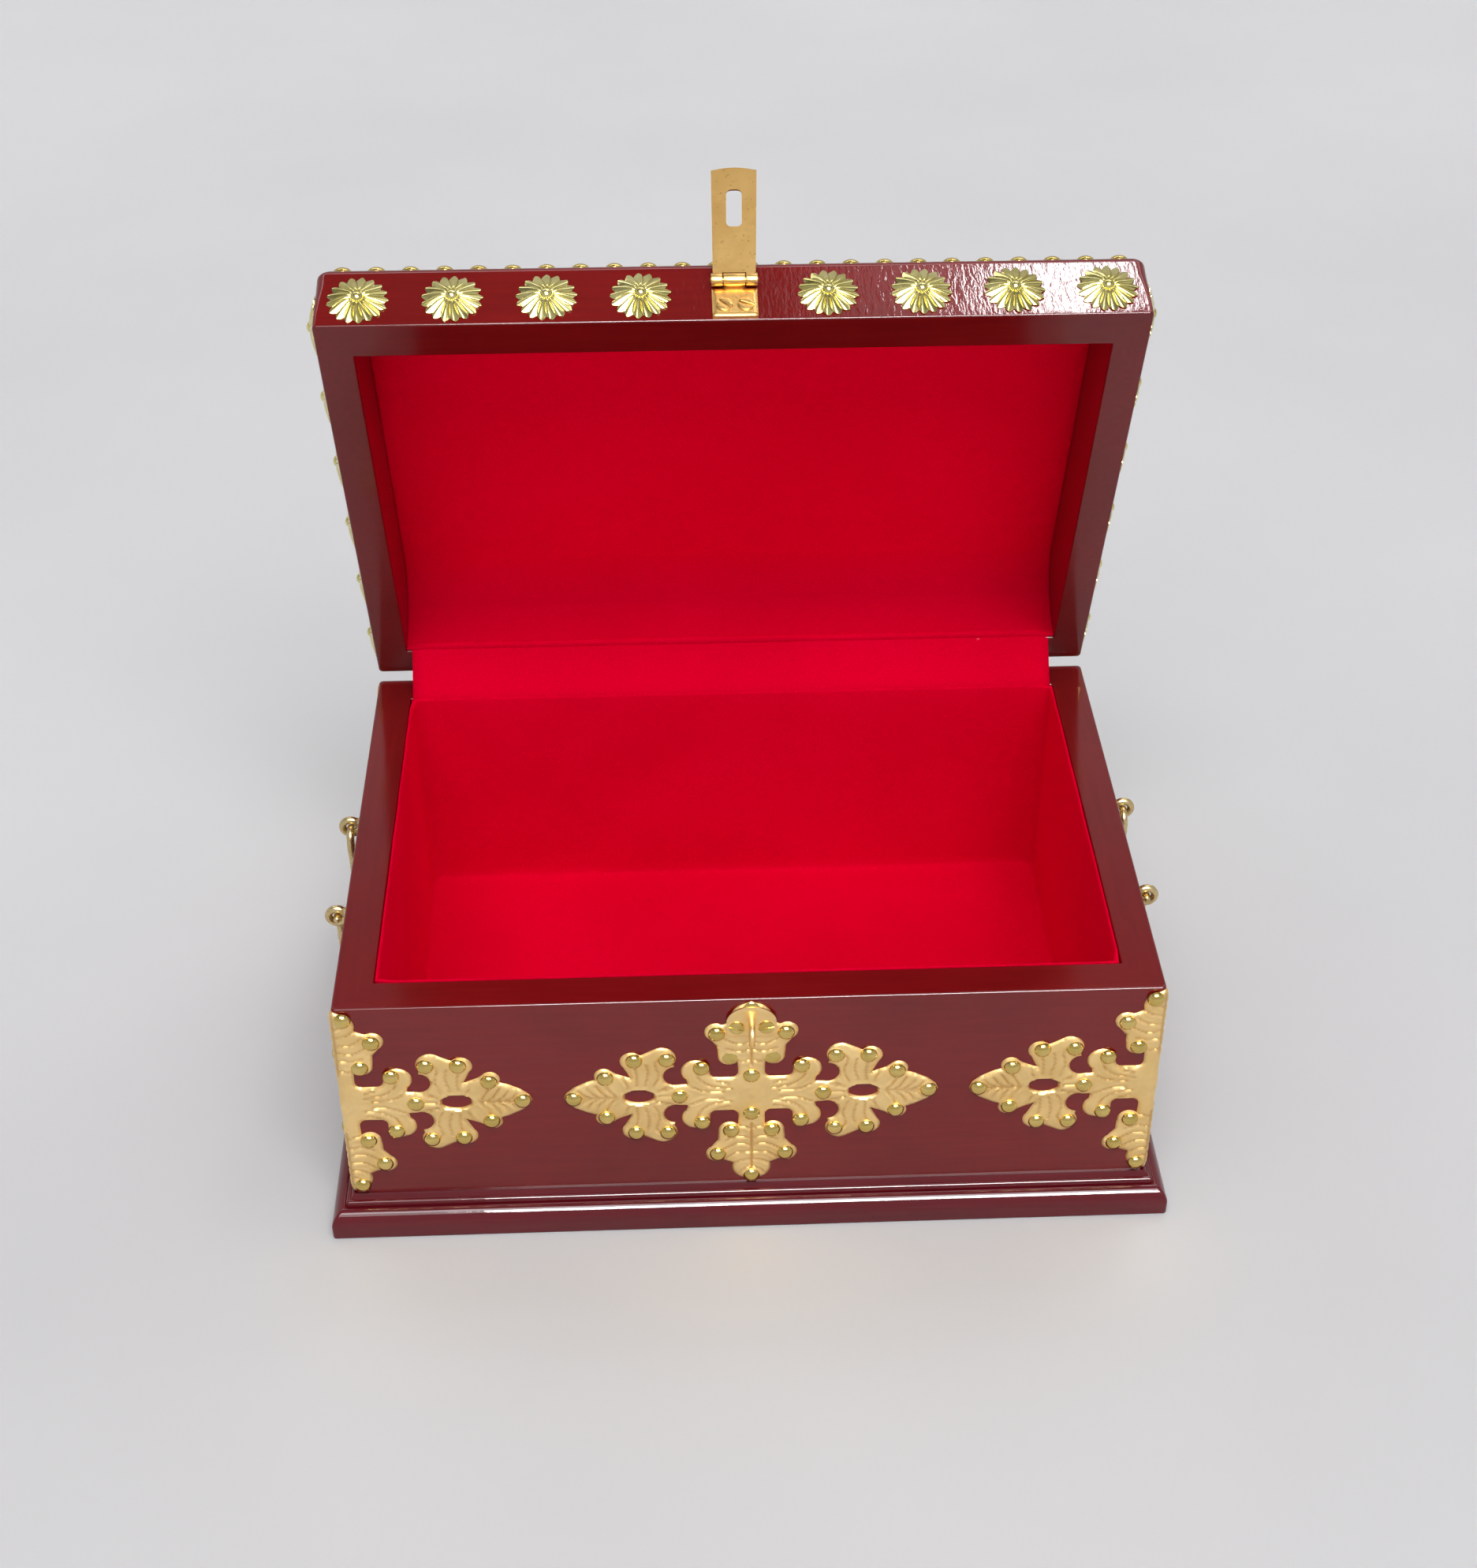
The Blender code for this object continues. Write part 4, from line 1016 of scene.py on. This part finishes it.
def corner_crosses(step):
    """The same stamping folded round each upright corner, half on either face."""
    points, faces, patina = upright_cross(step)
    bend = 1.6
    quarter = bend * math.pi / 2
    for y_name, ys in (("front", -1), ("back", 1)):
        for x_name, xs in (("left", -1), ("right", 1)):
            name = "corner_" + y_name + "_" + x_name
            # drawn round the front right corner: across < 0 on the front, > 0 on the side
            corner = Vector((HALF_X, -HALF_Y, 0))
            flip = Matrix.Diagonal((xs, -ys, 1, 1))
            mirrored = xs * -ys < 0

            def fold(u, w, out):
                s = u + quarter / 2
                if s < 0:
                    return corner + Vector((-bend + s, -0.05 - out, w))
                if s > quarter:
                    return corner + Vector((0.05 + out, bend + s - quarter, w))
                a = s / bend
                centre = corner + Vector((-bend, bend, 0))
                reach = bend + 0.05 + out
                return centre + Vector((reach * math.sin(a), -reach * math.cos(a), w))

            placed = [flip @ (fold(u, w, out) + Vector((0, 0, CROSS_Z))) for u, w, out in points]
            turned_faces = [tuple(reversed(f)) for f in faces] if mirrored else faces
            add(
                name + "_leaf", placed, turned_faces, stamped, "case", "stamped_brass",
                SHUT, 50, [name], shade=patina,
            )

            def placing(u, w):
                centre = fold(u, w, 0.5)
                if u < 0:
                    turn = UPRIGHT
                else:
                    turn = Matrix.Rotation(math.radians(90), 4, "Y")
                return flip @ Matrix.Translation(centre + Vector((0, 0, CROSS_Z))) @ turn

            nails, nail_faces = nail_shape(nail_places(True), placing)
            if mirrored:
                nail_faces = [tuple(reversed(f)) for f in nail_faces]
            add(name + "_nails", nails, nail_faces, nail_brass, "case", "polished_brass")


# ---- flower bosses and studs


def flower(petals=17, radius=11.3):
    """A pressed daisy: a low cone of swollen, pointed petals with sharp grooves between them."""
    per = 10
    n = petals * per
    inner = 2.0

    def point(i, t):
        phase = (i / per) % 1.0
        q = abs(2 * phase - 1)
        tip = radius - 1.9 * q**1.4
        r = inner + (tip - inner) * t
        share = (r - inner) / (radius - inner)
        crown = 0.35 + 2.5 * (1 - share) ** 1.25
        if r < 3.3:
            crown -= 0.6 * (1 - (r - inner) / (3.3 - inner))
        swell = 0.75 * math.sin(math.pi * (0.12 + 0.74 * t)) * (1 - q**1.7) ** 0.6
        lean = 0.16 * math.sin(2 * math.pi * phase) * t
        a = 2 * math.pi * (i / per + 0.3 * t) / petals
        return (r * math.cos(a), r * math.sin(a), max(0.12, crown + swell + lean - 0.3 * t))

    foot = [point(i, 1) for i in range(n)]
    rings = [[(0.93 * x, 0.93 * y, 0.0) for x, y, _ in foot]]
    rings.append([(x, y, max(0.05, z - 0.35)) for x, y, z in foot])
    for t in (1.0, 0.96, 0.9, 0.8, 0.68, 0.55, 0.42, 0.3, 0.19, 0.1, 0.04, 0.0):
        rings.append([point(i, t) for i in range(n)])
    return fanned(*loft(rings, capped=False), n, (0, 0, 0), (0, 0, 2.2))


def bosses():
    """The flower bosses, each on its CAD node's place on the lid's upright faces."""
    points, faces = flower()
    dome = [(2.1, 2.2), (2.25, 2.5), (2.1, 3.1), (1.6, 3.7), (0.9, 4.05), (0.35, 4.15)]
    cap = turned_profile([(0, 2.2), *dome, (0, 4.18)], 20)
    shut_again = OPEN.inverted()
    for label, side, count in (("front", "front", 8), ("left", "left", 6), ("right", "right", 6)):
        for number in range(1, count + 1):
            node = f"boss_{label}_{number}"
            centre = shut_again @ ((low(node) + high(node)) / 2)
            turn = Matrix.Rotation(math.radians(90 * SIDES.index(side)), 4, "Z")
            spin = Matrix.Rotation(math.radians(67 * number), 4, "Z")
            if side == "front":
                centre.y = -HALF_Y
            else:
                centre.x = math.copysign(HALF_X, centre.x)
            at = OPEN @ Matrix.Translation(centre) @ turn @ UPRIGHT @ spin
            looks = (petal_brass, "lid", "polished_brass", at)
            add(f"petals_{label}_{number}", points, faces, *looks, 28, [node])
            add(f"petal_nail_{label}_{number}", *cap, *looks)


STUD_PITCH = 12.48


def studs():
    """Round studs in a row along the lower edge of each slope of the lid."""
    stud = turned_profile(dome_profile(3.6, 2.3), 20)
    up_slope = 5.6
    for side, count in (("front", 24), ("right", 16), ("back", 24), ("left", 16)):
        shape = Shape()
        for k in range(count):
            along = (k - (count - 1) / 2) * STUD_PITCH
            inset = up_slope * math.cos(LID_SLOPE)
            rise = LID_EDGE + up_slope * math.sin(LID_SLOPE)
            at = side_matrix(side, LID_RIM) @ Matrix.Translation((along, inset, rise))
            shape.take(*stud, at @ Matrix.Rotation(LID_SLOPE, 4, "X"))
        add("studs_" + side, *shape.data(), nail_brass, "lid", "polished_brass", OPEN)


# ---- hasp


def rod(start, end, radius, rounding=0.35, segments=24):
    """A turned bar between two points, its ends eased."""
    start, end = Vector(start), Vector(end)
    length = (end - start).length
    ease = [(radius - rounding, 0), (radius - 0.3 * rounding, 0.1 * rounding), (radius, rounding)]
    profile = [(0, 0), *ease, *[(r, length - z) for r, z in reversed(ease)], (0, length)]
    turn = (end - start).to_track_quat("Z", "Y").to_matrix().to_4x4()
    points, faces = turned_profile(profile, segments)
    matrix = Matrix.Translation(start) @ turn
    return [matrix @ Vector(p) for p in points], faces


LEAF_HALF = 8.3
KNUCKLE = 2.4


def hasp_leaf():
    shape = Shape()
    foot, top = 1.2, 14.7
    outline = [(-LEAF_HALF, foot), (LEAF_HALF, foot), (LEAF_HALF, top), (4.0, top), (4.0, HASP_Z - 0.6)]
    outline += [(-4.0, HASP_Z - 0.6), (-4.0, top), (-LEAF_HALF, top)]
    points, faces = sheet_metal(outline, [], 1.15, 0.8, 0.4)
    face = Matrix.Translation((0, -HALF_Y, LID_RIM))
    shape.take(standing(points, 0.1), faces, face)
    shape.take(*rod((-4.0, HASP_AXIS.y, HASP_AXIS.z), (4.0, HASP_AXIS.y, HASP_AXIS.z), KNUCKLE))
    add("hasp_leaf_plate", *shape.data(), gilt, "lid", "golden_steel", OPEN, 40, ["hasp_leaf"])
    screws = Shape()
    for x, angle in ((-3.9, -0.75), (3.9, 2.75)):
        at = face @ Matrix.Translation((x, -1.1, 6.6)) @ UPRIGHT
        screws.take(*screw_head(3.2, angle, 0.6, 0.5).data(), at)
    add("hasp_leaf_screws", *screws.data(), gilt, "lid", "golden_steel", OPEN)


def hasp_strap():
    base, tip, length, bow, lean = 7.8, 8.5, 48.3, 1.2, 1.3
    end = -length + bow
    outline = [(-base, -0.4), (-tip, end)]
    outline += [(tip * (2 * i / 10 - 1), end - bow * math.sin(math.pi * i / 10)) for i in range(1, 10)]
    outline += [(tip, end), (base, -0.4), (4.4, -0.4), (4.4, -3.1), (-4.4, -3.1), (-4.4, -0.4)]
    half, near, far, corner = 2.9, 22.7, 38.7, 1.8
    slot = []
    side = half - corner
    top, foot = -near - corner, -far + corner
    for first, centre in zip((0, 90, 180, 270), ((side, top), (-side, top), (-side, foot), (side, foot))):
        slot += arc(centre, corner, first, first + 90, 4)
    points, faces = sheet_metal(outline, [slot], 1.2, 1.0, 0.4)
    points = [(x - lean * min(z, 0) / length, z, out) for x, z, out in points]
    shape = Shape()
    place = Matrix.Translation(HASP_AXIS + Vector((0, KNUCKLE - 1.2, 0)))
    shape.take(standing(points, 1.15), faces, place @ Matrix.Translation((0, -0.05, 0)))
    for first, last in ((-8.5, -4.3), (4.3, 8.5)):
        shape.take(*rod((first, HASP_AXIS.y, HASP_AXIS.z), (last, HASP_AXIS.y, HASP_AXIS.z), KNUCKLE))
    add("hasp_strap_plate", *shape.data(), gilt, "hasp_strap", "golden_steel", STRAP_OPEN, 40, ["hasp_strap"])
    pin = rod((-8.7, HASP_AXIS.y, HASP_AXIS.z), (8.7, HASP_AXIS.y, HASP_AXIS.z), 1.0, 0.3)
    add("hasp_pin_rod", *pin, gilt, "lid", "golden_steel", OPEN, 40, ["hasp_pin"])


def staple():
    half, shoulder, foot, crest = 9.2, -10.0, -17.2, -2.7
    outline = [(-half, foot), (half, foot)]
    outline += [(x, shoulder + (crest - shoulder) * z / half) for x, z in arc((0, 0), half, 0, 180, 18)]
    points, faces = sheet_metal(outline, [], 1.0, 0.9, 0.35)
    face = Matrix.Translation((0, -HALF_Y - 1.0, RIM))
    shape = Shape().take(standing(points), faces, face)
    bend, wire, reach, drop = 3.7, 1.2, 10.6, 12.3
    straight = reach - wire - bend
    route = [(0.6, bend), (2.2, bend)]
    route += [(straight + bend * math.sin(a), bend * math.cos(a)) for a in np.linspace(0, math.pi, 13)]
    route += [(2.2, -bend), (0.6, -bend)]
    path = [(0, -HALF_Y - out, RIM - drop + up) for out, up in route]
    shape.take(*tube(path, [wire] * len(path)))
    add("staple_plate", *shape.data(), plate_gilt, "case", "golden_steel", SHUT, 40, ["hasp_staple"])
    screws = Shape()
    for x, angle in ((-5.4, -0.35), (5.4, 0.2)):
        at = face @ Matrix.Translation((x, -0.95, -12.2)) @ UPRIGHT
        screws.take(*screw_head(3.0, angle, 0.42, 0.5).data(), at)
    add("staple_screws", *screws.data(), nail_brass, "case", "golden_steel")


# ---- back hinges


def hinge_plate(shape, outline, sign, back, step, rounding):
    """A flat part of a leaf: above the hinge line where sign is 1, below it where -1."""
    outline = [(u, sign * w) for u, w in outline][::sign]
    points, faces = sheet_metal(outline, [], 1.1, step, rounding)
    shape.take(standing(points, 0.2), faces, back)


def hinges():
    half, barrel, gap = 19.0, 2.5, 0.15
    knuckles = (-half, -6.5, 6.5, half)
    leaf = [(-19, 3.2), (19, 3.2), (19, 18.5), (17.5, 20), (-17.5, 20), (-19, 18.5)]
    for label in ("left", "right"):
        x = (low(f"hinge_{label}_pin").x + high(f"hinge_{label}_pin").x) / 2
        back = side_matrix("back", HINGE.z) @ Matrix.Translation((-x, 0, 0))
        for body, matrix, sign in (("case", SHUT, -1), ("lid", OPEN, 1)):
            name = f"hinge_{label}_{body}"
            shape = Shape()
            hinge_plate(shape, leaf, sign, back, 1.6, 0.4)
            pairs = [knuckles[1:3]] if body == "lid" else [knuckles[:2], knuckles[2:]]
            for first, last in pairs:
                left, right = -last + gap, -first - gap
                tab = [(left, 0), (right, 0), (right, 3.4), (left, 3.4)]
                hinge_plate(shape, tab, sign, back, 1.4, 0.3)
                ends = [(x + u, HINGE.y, HINGE.z) for u in (first + gap, last - gap)]
                shape.take(*rod(*ends, barrel))
            looks = (gilt, body, "golden_steel", matrix)
            add(name + "_plate", *shape.data(), *looks, 40, [name + "_leaf"])
            screws = Shape()
            for k, (dx, dz) in enumerate(((-13, 9.5), (0, 14.5), (13, 9.5))):
                at = back @ Matrix.Translation((dx, -1.2, sign * dz)) @ UPRIGHT
                screws.take(*screw_head(2.6, 0.9 * k + sign).data(), at)
            add(name + "_screws", *screws.data(), *looks)
        ends = [(x + u, HINGE.y, HINGE.z) for u in (-half - 0.3, half + 0.3)]
        pin = rod(*ends, 1.15, 0.4)
        pin_node = f"hinge_{label}_pin"
        add(pin_node + "_rod", *pin, gilt, "case", "golden_steel", SHUT, 40, [pin_node])


# ---- drop handles


def leaf_back(flat, edge, loops):
    """A cast leaf's swell, with a line down its middle and slanting cuts."""
    u, w = np.abs(flat[:, 0]), flat[:, 1]
    swell = 0.9 * np.clip(edge / 3.0, 0, 1) ** 0.7
    cuts = 0.18 * np.sin((w - 0.9 * u) * 2.1) * np.clip(edge / 2, 0, 1)
    return swell + cuts - 0.35 * np.exp(-((u / 0.45) ** 2)) * np.clip(edge / 2, 0, 1), None


def handle_posts():
    outline = [(0, 8.4), (1.7, 5.2), (4.6, 3.2), (5.3, -1.0), (4.4, -4.6)]
    outline += [(5.7, -8.0), (4.6, -12.5), (2.3, -16.2), (0, -18.6)]
    outline += [(-u, w) for u, w in outline[-2:0:-1]]
    outline = [tuple(p) for p in smooth_path(outline + outline[:1], 3)[:-1]]
    plate_points, plate_faces = sheet_metal(outline[::-1], [], 0.5, 0.8, 0.4, leaf_back)
    eye, wire = 3.4, 1.5
    angles = np.linspace(0, 2 * math.pi, 29)[:-1]
    ring = closed_tube([(0, RING_OUT + eye * math.cos(a), eye * math.sin(a)) for a in angles], wire)
    ring_points = [(p.x, -p.y, p.z) for p in ring[0]]
    ring_faces = [tuple(reversed(face)) for face in ring[1]]
    roots = []
    for heights in ((2.6, 2.2, 1.2), (-2.8, -2.3, -1.2)):
        path = [(0, out, z) for out, z in zip((-0.5, -2.3, -3.4), heights)]
        roots.append(tube(path, [1.9, 1.6, 1.2]))
    for side, facing in (("left", -1), ("right", 1)):
        for label, offset in (("front", -HANDLE_SPAN / 2), ("back", HANDLE_SPAN / 2)):
            node = f"handle_{side}_post_{label}"
            place = Matrix.Translation((facing * (HANDLE_Y + offset), 0, 0))
            at = side_matrix(side, HANDLE_Z) @ place
            shape = Shape().take(standing(plate_points, 0.1), plate_faces, at)
            shape.take(ring_points, ring_faces, at)
            for root in roots:
                shape.take(*root, at)
            looks = (handle_brass, "case", "polished_brass", SHUT, 50)
            add(f"{node}_cast", *shape.data(), *looks, [node])


def closed_tube(path, radius, segments=14):
    """A ring-shaped bar through a closed path of points."""
    path = [Vector(p) for p in path]
    n = len(path)
    normal = (path[1] - path[0]).cross(path[2] - path[1]).normalized()
    points, faces = [], []
    for k, p in enumerate(path):
        ahead = (path[(k + 1) % n] - path[k - 1]).normalized()
        side = ahead.cross(normal)
        for i in range(segments):
            a = 2 * math.pi * i / segments
            points.append(p + (side * math.cos(a) + normal * math.sin(a)) * radius)
    for k in range(n):
        for i in range(segments):
            j = (i + 1) % segments
            m = (k + 1) % n
            faces.append((k * segments + j, k * segments + i, m * segments + i, m * segments + j))
    return points, faces


def bails():
    half, drop, grip = HANDLE_SPAN / 2, 27.0, 4.6
    # one side of the bail, from its end in the post: along, height, share of the wire's size
    side = [
        (half + 2.7, 0, 0.9), (half, 0, 1), (half - 2.4, 0, 1), (half - 4.4, -1.2, 1.05),
        (half - 5.4, -3.4, 1.1), (half - 5.6, -8, 1.15), (half - 4.6, -14, 1.1),
        (half - 4.8, -19, 1.05), (half - 7.0, -23.5, 1.1), (half - 11.5, -26.3, 1.25),
        (half - 17, -drop, 1.5),
    ]
    route = side + [(0, -drop, 1.75)] + [(-a, z, s) for a, z, s in reversed(side)]
    path, radii = [], []
    for along, z, share in smooth_path(route, 5):
        path.append((along, -RING_OUT, z))
        if z < -20:
            for collar in (grip, grip + 1.6):
                share += 0.32 * math.exp(-(((abs(along) - collar) / 0.55) ** 2))
        radii.append(1.45 * share)
    bar = tube(path, radii)
    for name, facing in (("left", -1), ("right", 1)):
        at = side_matrix(name, HANDLE_Z) @ Matrix.Translation((facing * HANDLE_Y, 0, 0))
        node = "bail_" + name
        add(node + "_bar", *bar, handle_brass, node, "polished_brass", at, 60, [node])


# ---- build


case_shell()
plinth_moulding()
lid_shell()
lining = case_velvet()
lid_velvet()
flap_velvet()
front_cross(0.85)
corner_crosses(0.95)
bosses()
studs()
hasp_leaf()
hasp_strap()
staple()
hinges()
handle_posts()
bails()

# ---- floor, light and camera


def floor_material():
    n = Skin("pale_cloth_floor")
    soft = n.noise(2.2, detail=4)
    tone = n.ramp(soft, (0.3, (0.55, 0.545, 0.55)), (0.7, (0.595, 0.59, 0.595)))
    n.link(tone, n.shader.inputs["Base Color"])
    n.set(Roughness=0.95, Specular_IOR_Level=0.1)
    return n.material


def add_floor():
    mesh = bpy.data.meshes.new("floor")
    r = 6.0
    mesh.from_pydata([(-r, -r, 0), (r, -r, 0), (r, r, 0), (-r, r, 0)], [], [(0, 1, 2, 3)])
    mesh.materials.append(floor_material())
    floor = bpy.data.objects.new("floor", mesh)
    bpy.context.scene.collection.objects.link(floor)


class Sky(Nodes):
    """The world's nodes."""

    def math(self, operation, one, two):
        return self.node("Math", {0: one, 1: two}, operation=operation).outputs[0]

    def step(self, value, first, last):
        """0 before first and 1 after last, also where last is the smaller."""
        inputs = {"Value": value, "From Min": first, "From Max": last}
        return self.node("MapRange", inputs, interpolation_type="SMOOTHSTEP").outputs["Result"]

    def between(self, value, first, last, soft):
        start, end = self.step(value, first - soft, first), self.step(value, last + soft, last)
        return self.math("MULTIPLY", start, end)

    def panel(self, across, up, left, right, bottom, top, soft):
        """1 inside a rectangle of the plane that across and up span, with soft edges."""
        sideways = self.between(across, left, right, soft)
        return self.math("MULTIPLY", sideways, self.between(up, bottom, top, soft))


def add_world():
    """A dim ceiling, paler walls, and the bright panels in front and overhead."""
    world = bpy.data.worlds.new("soft_studio")
    world.use_nodes = True
    sky = Sky(world.node_tree)
    x, y, z = sky.node("SeparateXYZ", {0: sky.node("TexCoord").outputs["Generated"]}).outputs
    walls = sky.math("MULTIPLY", sky.step(z, 0.66, 0.58), WALLS - CEILING)
    glow = sky.math("ADD", walls, CEILING)
    ahead = sky.math("MULTIPLY", y, -1.0)
    for strength, soft, edges in FRONT_PANELS:
        lit = sky.panel(sky.math("DIVIDE", x, ahead), sky.math("DIVIDE", z, ahead), *edges, soft)
        glow = sky.math("ADD", glow, sky.math("MULTIPLY", lit, strength))
    above = sky.step(z, 0.0, 0.2)
    for strength, soft, edges in OVERHEAD_PANELS:
        lit = sky.panel(sky.math("DIVIDE", x, z), sky.math("DIVIDE", y, z), *edges, soft)
        lit = sky.math("MULTIPLY", lit, above)
        glow = sky.math("ADD", glow, sky.math("MULTIPLY", lit, strength))
    shader = sky.tree.nodes["Background"]
    shader.inputs["Color"].default_value = (0.98, 0.985, 1.0, 1)
    sky.link(glow, shader.inputs["Strength"])
    bpy.context.scene.world = world


def add_gloss_light(name, place, target, size, energy):
    """A long lamp that only shows as a highlight in polished surfaces."""
    data = bpy.data.lights.new(name, "AREA")
    data.shape = "RECTANGLE"
    data.size, data.size_y = size
    data.energy = energy
    lamp = bpy.data.objects.new(name, data)
    lamp.location = place
    lamp.rotation_euler = (Vector(target) - Vector(place)).to_track_quat("-Z", "Y").to_euler()
    lamp.visible_diffuse = False
    lamp.visible_camera = False
    bpy.context.scene.collection.objects.link(lamp)


def add_camera():
    data = bpy.data.cameras.new("camera")
    data.lens = 56.0
    data.sensor_width = 36.0
    data.shift_x = -0.01635
    data.shift_y = -0.0073
    data.clip_start = 0.01
    camera = bpy.data.objects.new("camera", data)
    turn = Matrix.Rotation(math.radians(-2.635), 4, "Z") @ Matrix.Rotation(math.radians(90 - 36.04), 4, "X")
    place = Matrix.Translation((-0.0264, -0.7758, 0.6979))
    camera.matrix_world = place @ turn @ Matrix.Rotation(math.radians(0.19), 4, "Z")
    bpy.context.scene.collection.objects.link(camera)
    bpy.context.scene.camera = camera


# Where the light comes from. A panel has a strength, a soft edge, and its left, right, bottom
# and top as slopes: across and up for those in front, across and backwards for those overhead.
WALLS = 0.55
CEILING = 0.16
FRONT_PANELS = [
    (4.0, 0.15, (-0.45, 0.8, 1.0, 1.9)),
    (8.0, 0.3, (-0.8, 0.8, 1.9, 3.0)),
]
OVERHEAD_PANELS = [
    (26.0, 0.012, (0.157, 0.205, 0.397, 0.5)),
    (1.1, 0.06, (0.1, 0.6, 0.3, 0.56)),
    (2.4, 0.05, (-0.8, 0.9, 0.62, 0.95)),
    (0.3, 0.1, (-0.8, 0.8, -0.4, 0.12)),
]

add_floor()
add_world()
add_gloss_light("front_tube", (0.12, -1.12, 1.24), (0.02, -0.1, 0.02), (0.7, 0.42), 44)
add_camera()
bpy.context.scene.view_settings.view_transform = "Standard"
